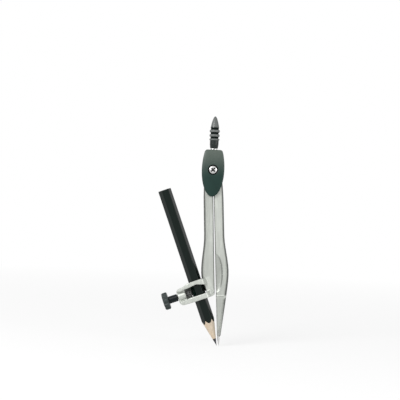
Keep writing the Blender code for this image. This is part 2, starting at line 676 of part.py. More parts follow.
def ring_side_outline():
    """The ring seen along the pencil: both sides arch over it."""
    front = [(ROOT_AT, -HALF_LEG + ROOT_SINK, 0), (SEAT_WALL_AT, -RING_HALF_DEPTH, ARCH_ROOT_FILLET),
             (-PENCIL_CORNER - CLAMP_TIP_LENGTH, -RING_HALF_DEPTH, ARCH_END_FILLET),
             (-END_WALL_OUT - CUT_PAST, -END_WALL_HALF_DEPTH + ARCH_END_DRAW, 0)]
    rear = [(x, -y, fillet) for x, y, fillet in reversed(front)]
    return filleted(front + rear)


def passage_outline():
    """Room for the pencil, drawn in towards the clamp screw as the arch is."""
    bend = PENCIL_CORNER + PENCIL_ROOM
    depth = END_WALL_HALF_DEPTH
    return [(-END_WALL_IN, -depth), (-bend, -PASSAGE_HALF), (SEAT_WALL_AT, -PASSAGE_HALF),
            (SEAT_WALL_AT, PASSAGE_HALF), (-bend, PASSAGE_HALF), (-END_WALL_IN, depth)]


def window_outline():
    """Opening between the two front bands."""
    top = RING_TOP - BAND_ABOVE_WINDOW
    bottom = -RING_BOTTOM + BAND_BELOW_WINDOW
    left = -END_WALL_IN - 2 * MOULD_STEP
    right = SEAT_WALL_AT + 2 * MOULD_STEP
    return filleted([(right, bottom, WINDOW_ROOT_FILLET), (right, top - BAND_ROOT_EXTRA, WINDOW_ROOT_FILLET),
                     (0, top, 0), (left, top - BAND_END_EXTRA, WINDOW_FILLET), (left, bottom, WINDOW_FILLET)])


def root_window_outline():
    """The same opening carried on over the leg, a little smaller at each edge."""
    top = RING_TOP - BAND_ABOVE_WINDOW - BAND_ROOT_EXTRA - MOULD_STEP
    bottom = -RING_BOTTOM + BAND_BELOW_WINDOW + MOULD_STEP
    end = ROOT_AT + CUT_PAST
    return [(SEAT_WALL_AT, bottom), (end, bottom + ROOT_WINDOW_RISE), (end, top), (SEAT_WALL_AT, top)]


def pencil_ring(leg):
    """Cast the ring on the pencil leg: bands in front, bridge behind."""
    block = plate("ring_block", ring_front_outline(), -2 * RING_HALF_DEPTH, 2 * RING_HALF_DEPTH, RING, across="Y")
    arch = plate("ring_arch", ring_side_outline(), -2 * RING_TOP, 2 * RING_TOP, RING)
    cut(block, "INTERSECT", arch)
    passage = plate("pencil_passage", passage_outline(), -3 * RING_TOP, 3 * RING_TOP, RING)
    window = plate("window_cut", window_outline(), -2 * RING_HALF_DEPTH, -MOULD_STEP, RING, across="Y")
    root_window = plate("root_window", root_window_outline(), -2 * RING_HALF_DEPTH, -HALF_LEG - MOULD_STEP, RING,
                        across="Y")
    bed = rectangle(-END_WALL_OUT - CUT_PAST, -END_WALL_IN - MOULD_STEP, -BOSS_RADIUS, BOSS_RADIUS)
    boss_bed = plate("boss_bed", bed, -2 * RING_HALF_DEPTH, -BOSS_BED, RING, across="Y")
    top = RING_TOP - BAND_ABOVE_WINDOW - BRIDGE_OVERLAP
    bottom = -RING_BOTTOM + BAND_BELOW_WINDOW + BRIDGE_OVERLAP
    behind = rectangle(-END_WALL_IN - MOULD_STEP, SEAT_WALL_AT + MOULD_STEP, MOULD_STEP, 2 * RING_HALF_DEPTH)
    over = plate("rear_cut_over", behind, top, 2 * RING_TOP, RING)
    under = plate("rear_cut_under", behind, -2 * RING_TOP, bottom, RING)
    root = rectangle(SEAT_WALL_AT, ROOT_AT + CUT_PAST, HALF_LEG + MOULD_STEP, 2 * RING_HALF_DEPTH)
    root_over = plate("rear_root_over", root, top + MOULD_STEP, 2 * RING_TOP, RING)
    root_under = plate("rear_root_under", root, -2 * RING_TOP, bottom - MOULD_STEP, RING)
    boss = turned("boss", cylinder_profile(BOSS_RADIUS, BOSS_IN, END_WALL_OUT), RING, along="-X")
    bore = turned("clamp_bore", cylinder_profile(CLAMP_RADIUS + RUN_GAP, BOSS_IN - CUT_PAST,
                                                 END_WALL_OUT + CUT_PAST), RING, along="-X")
    pad = turned("root_pad", cylinder_profile(PAD_RADIUS, HALF_LEG - PAD_SUNK, HALF_LEG + PAD_PROUD), RING,
                 along="-Y")
    pad.location = (PAD_ACROSS, 0, -PAD_DROP)
    cut(block, "UNION", pad)
    cut(leg, "UNION", block)
    cut(leg, "DIFFERENCE", passage, window, root_window, boss_bed, over, under, root_over, root_under)
    cut(leg, "UNION", boss)
    cut(leg, "DIFFERENCE", bore)


def rectangle(left, right, low, high):
    """Outline of a rectangle."""
    return [(left, low), (right, low), (right, high), (left, high)]


def pencil_leg(metal):
    """The left leg; its lower end is cut along the ring's underside."""
    end_drop = RING_DROP + RING_BOTTOM
    leg = blade("pencil_leg", -1, end_drop, PENCIL_LEG_AXIS, metal)
    underside = RING_BOTTOM + LEG_PAST_RING

    def trim_height(x):
        along = (x + RING_ACROSS - underside * math.sin(PENCIL_TILT)) / math.cos(PENCIL_TILT)
        return -RING_DROP - underside * math.cos(PENCIL_TILT) + along * math.sin(PENCIL_TILT)

    inner = -LEG_SPLIT / 2
    outer = -HIP_WIDTH - 2 * CUT_PAST
    keep = plate("leg_end", filleted([(inner, trim_height(inner), LEG_CORNER_FILLET), (inner, 2 * LAP_RADIUS, 0),
                                      (outer, 2 * LAP_RADIUS, 0), (outer, trim_height(outer), 0)]),
                 -LEG_DEPTH, LEG_DEPTH, PENCIL_LEG_AXIS, across="Y")
    cut(leg, "INTERSECT", keep)
    lapped_end(leg, PENCIL_LEG_AXIS, False)
    pencil_ring(leg)
    return leg


# ---- pencil, clamp screw and knob -------------------------------------------
def pencil(lacquer, graphite):
    """Hexagonal casing sharpened by a cone, and the lead through it."""
    tip = -PENCIL_BELOW_RING
    slope = math.tan(math.radians(POINT_HALF_ANGLE))
    wood_end = tip + LEAD_RADIUS / slope
    outline = [(PENCIL_CORNER * math.cos(math.pi * side / 3 + math.radians(PENCIL_ROLL)),
                PENCIL_CORNER * math.sin(math.pi * side / 3 + math.radians(PENCIL_ROLL))) for side in range(6)]
    casing = plate("pencil_casing", outline, wood_end, PENCIL_ABOVE_RING, RING, material=lacquer)
    wide = 2 * PENCIL_CORNER
    sharpener = turned("sharpener", [(0, PENCIL_ABOVE_RING + CUT_PAST), (wide, PENCIL_ABOVE_RING + CUT_PAST),
                                     (wide, tip + wide / slope), (0, tip)], RING, steps=2 * ROUND_STEPS)
    lead_bore = turned("lead_bore", cylinder_profile(LEAD_RADIUS + GLUE_GAP, tip, PENCIL_ABOVE_RING + CUT_PAST), RING)
    cut(casing, "INTERSECT", sharpener)
    cut(casing, "DIFFERENCE", lead_bore)
    lead_profile = [(0, PENCIL_ABOVE_RING), (LEAD_RADIUS, PENCIL_ABOVE_RING), (LEAD_RADIUS, wood_end),
                    (LEAD_TIP_RADIUS, tip + LEAD_TIP_RADIUS / slope), (0, tip + LEAD_TIP_RADIUS)]
    lead = turned("pencil_lead", lead_profile, RING, graphite)
    return casing, lead


def knob_outline():
    """Fluted rim: the radius dips once for each flute."""
    points = []
    count = KNOB_FLUTES * FLUTE_POINTS
    for step in range(count):
        angle = 2 * math.pi * step / count
        dip = (0.5 - 0.5 * math.cos(KNOB_FLUTES * angle)) ** 2
        radius = KNOB_RADIUS - KNOB_FLUTE_DEPTH * dip
        points.append((radius * math.cos(angle), radius * math.sin(angle)))
    return points


def clamp(plastic, steel):
    """The clamp screw and the fluted knob moulded on its end."""
    tip = PENCIL_CORNER + SEAT_GAP
    end = KNOB_AT + CLAMP_IN_KNOB
    screw = turned("clamp_screw", [(0, end), (CLAMP_RADIUS, end), (CLAMP_RADIUS, tip + CLAMP_TIP_LENGTH),
                                   (CLAMP_TIP_RADIUS, tip + CLAMP_TIP_LENGTH), (CLAMP_TIP_RADIUS, tip), (0, tip)],
                   RING, steel, along="-X")
    rings = []
    top = KNOB_AT + KNOB_DEPTH
    for height, inset in ((KNOB_AT, KNOB_EDGE), (KNOB_AT + KNOB_EDGE, 0), (top - KNOB_EDGE, 0), (top, KNOB_EDGE)):
        share = 1 - inset / KNOB_RADIUS
        rings.append([(x * share, y * share, height) for x, y in knob_outline()])
    knob = add_piece("thumb_knob", loft_mesh("thumb_knob", rings), RING, plastic)
    knob.rotation_euler = (0, math.radians(-90), 0)
    hub_start = END_WALL_OUT + RING_END_BULGE + SEAT_GAP
    hub = turned("hub", cylinder_profile(HUB_RADIUS, hub_start, KNOB_AT + KNOB_EDGE), RING, along="-X")
    bore = turned("knob_bore", cylinder_profile(CLAMP_RADIUS + GLUE_GAP, hub_start - CUT_PAST, end + SEAT_GAP), RING,
                  along="-X")
    cut(knob, "UNION", hub)
    cut(knob, "DIFFERENCE", bore)
    return screw, knob


# ---- build ------------------------------------------------------------------
clear_scene()
PARTS = new_collection("drawing_compass")
CUTTERS = new_collection("cutters")

SHELL_PLASTIC = finish("shell_plastic", (0.045, 0.070, 0.060), 0.45)
GRIP_PLASTIC = finish("grip_plastic", (0.020, 0.022, 0.024), 0.30)
KNOB_PLASTIC = finish("knob_plastic", (0.040, 0.048, 0.052), 0.45)
CAST_METAL = finish("cast_metal", (0.56, 0.58, 0.54), 0.38, 0.9)
BRIGHT_STEEL = finish("bright_steel", (0.72, 0.72, 0.70), 0.22, 1.0)
NYLON = finish("nylon", (0.75, 0.74, 0.70), 0.6)
LACQUER = finish("pencil_lacquer", (0.012, 0.020, 0.018), 0.25)
GRAPHITE = finish("graphite", (0.04, 0.04, 0.045), 0.4, 0.3)

PIVOT = empty("pivot", place=(0, 0, -GRIP_HOLD_RISE))
NEEDLE_AXIS = empty("needle_leg_axis", PIVOT, lean=-NEEDLE_LEAN)
PENCIL_LEG_AXIS = empty("pencil_leg_axis", PIVOT, lean=-PENCIL_LEG_LEAN)
RING = empty("ring_axis", PENCIL_LEG_AXIS, (-RING_ACROSS, 0, -RING_DROP), -math.degrees(PENCIL_TILT))

head(SHELL_PLASTIC)
handle(GRIP_PLASTIC, BRIGHT_STEEL)
pivot_hardware(BRIGHT_STEEL, NYLON)
needle_leg(CAST_METAL, BRIGHT_STEEL)
pencil_leg(CAST_METAL)
pencil(LACQUER, GRAPHITE)
clamp(KNOB_PLASTIC, BRIGHT_STEEL)

for piece in PARTS.objects:
    if piece.type == "MESH":
        shade_smooth(piece)
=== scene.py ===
import json
import math

import bmesh
import bpy
import numpy as np
from bpy.props import FloatProperty, FloatVectorProperty, IntProperty, PointerProperty
from mathutils import Matrix, Vector


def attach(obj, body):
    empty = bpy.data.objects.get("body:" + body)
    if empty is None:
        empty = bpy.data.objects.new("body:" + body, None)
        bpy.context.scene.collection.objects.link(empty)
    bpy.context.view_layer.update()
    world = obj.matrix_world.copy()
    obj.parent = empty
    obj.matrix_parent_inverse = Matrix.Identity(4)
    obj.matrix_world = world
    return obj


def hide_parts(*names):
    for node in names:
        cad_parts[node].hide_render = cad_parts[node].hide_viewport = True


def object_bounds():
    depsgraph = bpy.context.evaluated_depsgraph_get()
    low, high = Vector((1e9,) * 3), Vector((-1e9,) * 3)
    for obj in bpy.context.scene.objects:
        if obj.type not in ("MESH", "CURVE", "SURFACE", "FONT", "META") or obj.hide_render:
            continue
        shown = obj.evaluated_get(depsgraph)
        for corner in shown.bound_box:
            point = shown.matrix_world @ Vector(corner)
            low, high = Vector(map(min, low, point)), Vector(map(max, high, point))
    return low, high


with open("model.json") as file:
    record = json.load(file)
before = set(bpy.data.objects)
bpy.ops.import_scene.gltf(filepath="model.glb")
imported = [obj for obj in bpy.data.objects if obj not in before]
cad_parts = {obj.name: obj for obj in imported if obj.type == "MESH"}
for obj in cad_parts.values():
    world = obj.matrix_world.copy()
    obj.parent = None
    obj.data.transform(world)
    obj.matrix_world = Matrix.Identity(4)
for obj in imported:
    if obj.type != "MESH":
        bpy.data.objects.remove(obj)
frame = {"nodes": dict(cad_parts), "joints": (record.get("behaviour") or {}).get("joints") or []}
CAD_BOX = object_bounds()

bl_info = {
    "name": "Drawing compass looks",
    "version": (1, 0, 0),
    "blender": (4, 5, 0),
    "location": "View3D > Sidebar > Compass",
    "description": "Dresses the drawing compass in its finished surfaces and sets its stage",
    "category": "Object",
}

MM = 0.001


# ---- where the pieces are ----
def unit(vector):
    """The vector at length 1."""
    vector = np.asarray(vector, float)
    return vector / np.linalg.norm(vector)


def joint(name):
    """The record's joint of that name."""
    return next(entry for entry in frame["joints"] if entry["name"] == name)


class Seat:
    """A place with three axes, so that a piece is worked out about its own axis.

    A point (x, y, z) of the piece lies at place + x*side + y*back + z*up.
    """

    def __init__(self, place, up, side):
        self.place = np.asarray(place, float)
        self.up = unit(up)
        self.side = unit(np.asarray(side, float) - np.dot(side, self.up) * self.up)
        self.back = np.cross(self.up, self.side)

    def world(self, points):
        """Points of the piece, carried to their place in the compass."""
        turn = np.stack([self.side, self.back, self.up])
        return np.asarray(points, float) @ turn + self.place

    def reach(self, node):
        """Least and greatest height of a node along the seat's axis."""
        heights = (node_points(node) - self.place) @ self.up
        return heights.min(), heights.max()


def coordinates(mesh, key="co"):
    """The mesh's vertices, or with the key normal their normals, as rows of three."""
    flat = np.empty(3 * len(mesh.vertices))
    mesh.vertices.foreach_get(key, flat)
    return flat.reshape(-1, 3)


def node_points(node):
    """The vertices of a node of the frame."""
    return coordinates(frame["nodes"][node].data)


PIVOT = np.array(joint("needle_leg_open")["pos_m"])
RING_AT = np.array(joint("knob_turn")["pos_m"])
PENCIL_UP = unit(joint("pencil_slide")["axis"])
CLAMP_OUT = unit(joint("clamp_travel")["axis"])

NEEDLE_POINTS = node_points("needle")
NEEDLE_TIP = NEEDLE_POINTS[NEEDLE_POINTS[:, 2].argmin()]
NEEDLE_TOP_RIM = NEEDLE_POINTS[:, 2] > NEEDLE_POINTS[:, 2].max() - 0.5 * MM
NEEDLE_HIGH = NEEDLE_POINTS[NEEDLE_TOP_RIM].mean(axis=0)
LEG_FRONT = node_points("needle_leg")[:, 1].min()

HEAD_SEAT = Seat(PIVOT, (0, 0, 1), (1, 0, 0))
SCREW_SEAT = Seat(PIVOT, (0, -1, 0), (1, 0, 0))
NEEDLE_SEAT = Seat(NEEDLE_TIP, NEEDLE_HIGH - NEEDLE_TIP, (1, 0, 0))
PENCIL_SEAT = Seat(RING_AT, PENCIL_UP, -CLAMP_OUT)
CLAMP_SEAT = Seat(RING_AT, CLAMP_OUT, PENCIL_UP)


# ---- surfaces ----
POLE_GAP = 1e-8  # vertices that lie closer are one
SEAM_GAP = 1e-6  # the same for a copy of a CAD node
TONE_PASSES = 18  # over which dark tones spread


def skin(name, grid, body, materials, row_materials=None, close_rows=False, marks=None):
    """A closed mesh from a grid of points, rows along the piece and columns round it.

    Each quad joins two neighbouring rows and columns, the last column joins the
    first, and with close_rows the last row joins the first too. Rows that shrink
    to a point become poles. If the signed volume, the sum of a.(b x c) / 6 over
    the triangles, is negative, the faces are turned round. Each entry of marks is
    a grid of values that a finish reads.
    """
    rows, columns = grid.shape[:2]
    index = np.arange(rows * columns).reshape(rows, columns)
    here = index if close_rows else index[:-1]
    above = np.roll(index, -1, axis=0) if close_rows else index[1:]
    faces = np.stack([here, np.roll(here, -1, axis=1), np.roll(above, -1, axis=1), above], axis=-1)
    faces = faces.reshape(-1, 4)
    points = grid.reshape(-1, 3)
    a, b, c, d = (points[faces[:, corner]] for corner in range(4))
    if (a * np.cross(b, c)).sum() + (a * np.cross(c, d)).sum() < 0:
        faces = faces[:, ::-1]
    mesh = bpy.data.meshes.new(name)
    mesh.from_pydata(points, [], faces)
    for material in materials:
        mesh.materials.append(material)
    if row_materials is not None:
        of_face = np.repeat(np.asarray(row_materials[:len(here)], np.int32), columns)
        mesh.polygons.foreach_set("material_index", of_face)
    for key, values in (marks or {}).items():
        mark(mesh, key, np.broadcast_to(values, (rows, columns)).reshape(-1))
    merge(mesh, POLE_GAP)
    mesh.shade_smooth()
    return settle(name, mesh, body)


def merge(mesh, distance):
    """Join the vertices that lie closer to each other than the distance."""
    edit = bmesh.new()
    edit.from_mesh(mesh)
    bmesh.ops.remove_doubles(edit, verts=edit.verts, dist=distance)
    edit.to_mesh(mesh)
    edit.free()


def mark(mesh, name, values):
    """Keep one value for each vertex, which a finish reads by that name."""
    layer = mesh.attributes.new(name, "FLOAT", "POINT")
    layer.data.foreach_set("value", np.ascontiguousarray(values, np.float32))


def settle(name, mesh, body):
    """Link a finished mesh and ride it on its body."""
    piece = bpy.data.objects.new(name, mesh)
    bpy.context.scene.collection.objects.link(piece)
    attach(piece, body)
    return piece


def rounded(corners, points=7):
    """A profile through (radius, height, fillet) corners, each fillet an arc.

    The arc's centre lies on the bisector of the corner, fillet / sin(half) away,
    and the arc runs from one tangent point to the other.
    """
    line = []
    for at, (radius, height, fillet) in enumerate(corners):
        corner = np.array([radius, height], float)
        if fillet <= 0 or at in (0, len(corners) - 1):
            line.append(corner[None])
            continue
        ways = [np.array(corners[at + step][:2]) - corner for step in (-1, 1)]
        before, after = map(unit, ways)
        half = math.acos(float(np.clip(before @ after, -1, 1))) / 2
        room = min(map(np.linalg.norm, ways))
        fillet = min(fillet, 0.49 * math.tan(half) * room)
        centre = corner + unit(before + after) * fillet / math.sin(half)
        first = corner + before * fillet / math.tan(half) - centre
        last = corner + after * fillet / math.tan(half) - centre
        share = np.linspace(0, 1, points)[:, None]
        sweep = math.pi - 2 * half
        arc = np.sin((1 - share) * sweep) * first + np.sin(share * sweep) * last
        line.append(centre + arc / math.sin(sweep))
    return np.concatenate(line)


def dense(profile, step):
    """The profile with extra points, so that none is further than step from the next."""
    pieces = []
    for start, end in zip(profile[:-1], profile[1:]):
        count = max(1, int(math.ceil(np.linalg.norm(end - start) / step)))
        pieces.append(start + (end - start) * np.linspace(0, 1, count, endpoint=False)[:, None])
    return np.concatenate(pieces + [profile[-1:]])


def around(count):
    """Angles of the columns round a piece."""
    return np.linspace(0, 2 * math.pi, count, endpoint=False)


def turned(radius, height, angle):
    """The grid of points x = r cos(angle), y = r sin(angle), z = height."""
    return np.stack([radius * np.cos(angle), radius * np.sin(angle), height + 0 * angle], axis=-1)


def lathe(profile, columns, seat):
    """A profile of (radius, height) turned about the seat's axis."""
    return seat.world(turned(profile[:, :1], profile[:, 1:], around(columns)))


def ease(low, high, value):
    """0 below low, 1 above high, and 3t^2 - 2t^3 between them."""
    share = np.clip((value - low) / (high - low), 0, 1)
    return share * share * (3 - 2 * share)


def hexagon(angle, apothem, sharpness):
    """Radius of a hexagon with softened corners.

    The radius is apothem / (sum over the six flats of cos(angle - flat)^p)^(1/p),
    where negative cosines count as nothing and p is the sharpness.
    """
    flats = math.pi / 6 + math.pi / 3 * np.arange(6)
    facing = np.clip(np.cos(angle[:, None] - flats), 0, None)
    return apothem / (facing ** sharpness).sum(axis=-1) ** (1 / sharpness)


def neighbour_mean(mesh):
    """A function that gives each vertex the mean of the values of its neighbours."""
    count, here = len(mesh.vertices), np.empty(2 * len(mesh.edges), np.int32)
    mesh.edges.foreach_get("vertices", here)
    there = here.reshape(-1, 2)[:, ::-1].reshape(-1)
    degree = np.bincount(here, minlength=count)
    return lambda values: np.bincount(here, values[there], count) / degree


def relax(mesh, share, passes):
    """Move each vertex half of its share of the way to its neighbours' mean, in whole passes."""
    mean, axes = neighbour_mean(mesh), coordinates(mesh).T
    for _ in range(passes):
        axes = axes + 0.5 * share * (np.stack([mean(axis) for axis in axes]) - axes)
    mesh.vertices.foreach_set("co", axes.T.reshape(-1))
    mesh.update()


def spread_dark(mesh, values, passes):
    """Carry dark values into their neighbours: the lesser of each value and 1.6 m - 0.6,
    where m is the value averaged with its neighbours in passes."""
    mean, spread = neighbour_mean(mesh), values
    for _ in range(passes):
        spread = 0.5 * spread + 0.5 * mean(spread)
    return np.minimum(values, np.maximum(1.6 * spread - 0.6, values.min()))


def soft_casting(node, name, body, material, voxel, passes, marks, ring_passes=0):
    """A cast piece with soft edges, worked from the frame's own solid.

    A copy of the node is skinned again with even voxels and smoothed, so that its
    creases get the small radius of a casting, and the ring is rounded further.
    Each entry of marks works out a mark from the vertices and their normals.
    """
    mesh = frame["nodes"][node].data.copy()
    merge(mesh, SEAM_GAP)
    blank = bpy.data.objects.new(name + "_blank", mesh)
    bpy.context.scene.collection.objects.link(blank)
    remesh = blank.modifiers.new("even skin", "REMESH")
    remesh.mode = "VOXEL"
    remesh.voxel_size = voxel
    smooth = blank.modifiers.new("soft edges", "SMOOTH")
    smooth.iterations = passes
    graph = bpy.context.evaluated_depsgraph_get()
    made = bpy.data.meshes.new_from_object(blank.evaluated_get(graph))
    bpy.data.objects.remove(blank)
    bpy.data.meshes.remove(mesh)
    made.materials.clear()
    made.materials.append(material)
    made.shade_smooth()
    made.name = name
    relax(made, ring_share(coordinates(made)), ring_passes)
    points, normals = coordinates(made), coordinates(made, "normal")
    for key, work_out in marks.items():
        values = work_out(points, normals)
        mark(made, key, spread_dark(made, values, TONE_PASSES) if key == "tone" else values)
    piece = settle(name, made, body)
    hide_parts(node)
    return piece


# ---- finishes ----
def node(tree, kind, sockets=None, **settings):
    """Add a shader node; a socket's value is a constant or another socket."""
    made = tree.nodes.new(kind)
    for key, value in settings.items():
        setattr(made, key, value)
    for key, value in (sockets or {}).items():
        if isinstance(value, bpy.types.NodeSocket):
            tree.links.new(value, made.inputs[key])
        else:
            made.inputs[key].default_value = value
    return made


def finish(name, roughness, metallic=0.0, specular=0.5):
    """A Principled material with its constant values set."""
    made = bpy.data.materials.new(name)
    made.use_nodes = True
    shader = made.node_tree.nodes["Principled BSDF"]
    shader.inputs["Roughness"].default_value = roughness
    shader.inputs["Metallic"].default_value = metallic
    shader.inputs["Specular IOR Level"].default_value = specular
    return made, made.node_tree, shader


def feed(tree, shader, base, rough=None):
    """Give the shader its colour and, if it varies, its roughness."""
    tree.links.new(base, shader.inputs["Base Color"])
    if rough is not None:
        tree.links.new(rough, shader.inputs["Roughness"])


def place_on(tree, turn=(0, 0, 0), stretch=(1, 1, 1)):
    """Object coordinates, turned and stretched."""
    where = node(tree, "ShaderNodeTexCoord").outputs["Object"]
    sockets = {"Vector": where, "Rotation": turn, "Scale": stretch}
    return node(tree, "ShaderNodeMapping", sockets).outputs["Vector"]


def noise(tree, scale, detail=3.0, roughness=0.5, vector=None):
    """Noise of 1 / scale metres between its cells, on plain Object coordinates unless told."""
    vector = place_on(tree) if vector is None else vector
    sockets = {"Vector": vector, "Scale": scale, "Detail": detail, "Roughness": roughness}
    return node(tree, "ShaderNodeTexNoise", sockets).outputs["Fac"]


def span(tree, value, low, high, start=0.3, end=0.7):
    """Carry a value from start..end over to low..high."""
    sockets = {"Value": value, "From Min": start, "From Max": end, "To Min": low, "To Max": high}
    return node(tree, "ShaderNodeMapRange", sockets).outputs["Result"]


def blend(tree, share, first, second):
    """Mix two colours, each a constant or a socket."""
    made = node(tree, "ShaderNodeMix", data_type="RGBA")
    for key, value in (("Factor", share), ("A", first), ("B", second)):
        socket = next(entry for entry in made.inputs if entry.name == key and entry.enabled)
        if isinstance(value, bpy.types.NodeSocket):
            tree.links.new(value, socket)
        else:
            socket.default_value = (*value[:3], 1.0)
    return next(entry for entry in made.outputs if entry.enabled)


def marked(tree, name):
    """The value that a mark keeps on the mesh."""
    return node(tree, "ShaderNodeAttribute", attribute_name=name).outputs["Fac"]


def bump(tree, shader, height, distance, before=None):
    """Raise the surface by height times distance, on top of an earlier bump if there is one."""
    sockets = {"Height": height, "Distance": distance}
    if before is not None:
        sockets["Normal"] = before
    normal = node(tree, "ShaderNodeBump", sockets).outputs["Normal"]
    tree.links.new(normal, shader.inputs["Normal"])
    return normal


def tinted(colour, factor):
    """A colour made lighter or darker."""
    return tuple(min(1.0, channel * factor) for channel in colour[:3])


def mottled(tree, pattern, colour, low, high, start=0.3, end=0.7):
    """A colour that goes from low to high times itself as the pattern goes from start to end."""
    share = span(tree, pattern, 0, 1, start, end)
    return blend(tree, share, tinted(colour, low), tinted(colour, high))


# How bright the plating is, as shares of its full tone: painted shade and painted light in the
# castings' colour
# Painted shade on the sides, partly also their duller skin from the mould
SIDE_TONE = 0.33  # on the sides, as cast
# Painted light from the left: sides facing right darker, sides facing left lighter
SIDE_SWING = 0.13  # less on sides that face right, more on the left
# Less of the painted side shade on the narrow foot
FOOT_LIFT = 0.35  # more on the sides of the foot
# Painted light: the ring brighter than its leg
RING_TONE = 1.18  # on the ring
# Painted light: the needle's leg lighter towards the head
PAINTED_LIGHT_LIFT = 0.13  # more towards the head on the needle's leg
# Painted highlight on the rib
RIB_HIGHLIGHT = 0.12  # more on the rib
SCOOP_SHADE = 0.17  # less in the scoop
INSIDE_SHADE = 0.72  # less inside the ring
FLAT_COSINES = [math.cos(math.radians(tilt)) for tilt in (42, 14)]  # not flat, flat
RIB_HEIGHT = -75.5 * MM  # above the pivot, as are the next two
SCOOP_LOW, SCOOP_HIGH = -75 * MM, -49 * MM


def from_ring(points):
    """Distances from the ring's middle, out to the knob and along the pencil."""
    return (points - RING_AT) @ CLAMP_OUT, (points - RING_AT) @ PENCIL_UP


def ring_share(points):
    """1 on the ring and 0 on its leg, eased over the bands' root."""
    out, along = from_ring(points)
    return ease(-6.5 * MM, -4 * MM, out) * (1 - ease(6.8 * MM, 8 * MM, np.abs(along)))


def inside_share(points, normals):
    """1 on the walls inside the ring: the bands' inner faces, the boss's end and the front
    of the rear wall."""
    out, along = from_ring(points)
    passage = ((out > -5 * MM) & (out < 8 * MM) & (np.abs(along) < 5.5 * MM)
               & (np.abs(points[:, 1]) < 4.6 * MM))
    between = -(normals @ PENCIL_UP) * np.sign(along)
    inner_end = -(normals @ CLAMP_OUT) * (out > 2 * MM)
    rear = -normals[:, 1] * (points[:, 1] > 1.5 * MM)
    return passage * ease(0.25, 0.7, np.maximum(np.maximum(between, inner_end), rear))


def plating_tone(points, normals):
    """How bright the plating is: 1 on the rubbed flats, which look to the front or the back, less
    on the sides, partly for their duller skin from the mould and partly as painted shade, darker on
    sides that face right and lighter on sides that face left as painted light from the left, with
    painted shade in the scoop and most inside the ring, and painted light on the ring, the rib and
    the needle leg's upper part."""
    height, right = points[:, 2] - PIVOT[2], points[:, 0] > 0
    # The rib counts as a flat and takes a painted highlight
    rib = (np.abs(height - RIB_HEIGHT) < 0.9 * MM) * right * (normals[:, 1] < -0.3)
    flat = np.maximum(ease(*FLAT_COSINES, np.abs(normals[:, 1])), rib)
    foot = 1 - ease(NEEDLE_TIP[2] + 10 * MM, NEEDLE_TIP[2] + 24 * MM, points[:, 2])
    # Painted shade on the sides, partly their duller skin, with painted light from the left
    cast_skin_and_shade = SIDE_TONE - SIDE_SWING * normals[:, 0] + FOOT_LIFT * foot
    out, along = from_ring(points)
    # Painted light on the ring
    ring = ease(-10 * MM, -8 * MM, out) * (1 - ease(5.8 * MM, 6.8 * MM, np.abs(along)))
    tone = (cast_skin_and_shade + (1 - cast_skin_and_shade) * flat) * (1 - ring) + RING_TONE * ring
    # Painted light on the needle's leg towards the head
    painted_light = ease(-100 * MM, -50 * MM, points[:, 2]) * ease(-1 * MM, 1 * MM, points[:, 0])
    scooped = (ease(0.2 * MM, 0.9 * MM, points[:, 1] - LEG_FRONT) * ease(0.5, 0.8, -normals[:, 1])
               * (height > SCOOP_LOW) * (height < SCOOP_HIGH) * right)
    return (tone * (1 + PAINTED_LIGHT_LIFT * painted_light) * (1 + RIB_HIGHLIGHT * rib) * (1 - SCOOP_SHADE * scooped)
            * (1 - INSIDE_SHADE * inside_share(points, normals)))


def cast_metal(colours):
    """Satin plating on a die casting: the flats rubbed along their length, which leaves faint
    streaks, the rest duller, with a fine orange peel, and the edges brighter. Its tone mark brings
    in painted shade and painted light."""
    made, tree, shader = finish("satin_plated_casting", 0.4, metallic=0.5)
    streaks = noise(tree, 1700, 5, vector=place_on(tree, stretch=(1, 1, 0.05)))
    base = mottled(tree, streaks, colours.casting, 0.87, 1.08)
    cloud = span(tree, noise(tree, 190), 0, 0.6)
    base = blend(tree, cloud, base, tinted(colours.casting, 0.88))
    # The tone mark scales the colour with painted shade and painted light, partly also the duller
    # skin on the sides
    base = node(tree, "ShaderNodeVectorMath", {0: base, "Scale": marked(tree, "tone")},
                operation="SCALE").outputs[0]
    # Convex edges lighter: wear on the plating's edges, partly a painted highlight
    pointed = node(tree, "ShaderNodeNewGeometry").outputs["Pointiness"]
    wear_and_highlight = span(tree, pointed, 0, 0.6, 0.53, 0.62)
    base = blend(tree, wear_and_highlight, base, tinted(colours.casting, 1.12))
    feed(tree, shader, base, span(tree, streaks, 0.34, 0.46))
    peel = bump(tree, shader, noise(tree, 2200, 2), 0.012 * MM)
    bump(tree, shader, streaks, 0.01 * MM, before=peel)
    return made


def bright_steel(colours, name="bright_steel", factor=1.0, roughness=0.16, shaded=None):
    """Bright plated steel with fine turning marks and dull clouds, dark where it is shaded."""
    made, tree, shader = finish(name, roughness, metallic=1.0)
    cloud = noise(tree, 900, 4)
    colour = tinted(colours.steel, factor)
    base = mottled(tree, cloud, colour, 0.9, 1)
    if shaded is not None:
        base = blend(tree, marked(tree, shaded), base, tinted(colour, 0.06))
    feed(tree, shader, base, span(tree, cloud, roughness * 0.8, roughness * 1.7))
    bump(tree, shader, noise(tree, 6000, 2), 0.004 * MM)
    return made


def moulded(name, colour, roughness, specular, grain, depth, marks=()):
    """Moulded plastic: an even colour with slow drift and a fine moulded grain.

    Each of the marks is (name, colour): the colour that shows where the mark is 1.
    """
    made, tree, shader = finish(name, roughness, specular=specular)
    base = mottled(tree, noise(tree, 220, 2), colour, 0.9, 1.1)
    for key, other in marks:
        base = blend(tree, marked(tree, key), base, other)
    fine = noise(tree, grain, 2)
    feed(tree, shader, base, span(tree, fine, roughness * 0.9, roughness * 1.12))
    bump(tree, shader, fine, depth)
    return made


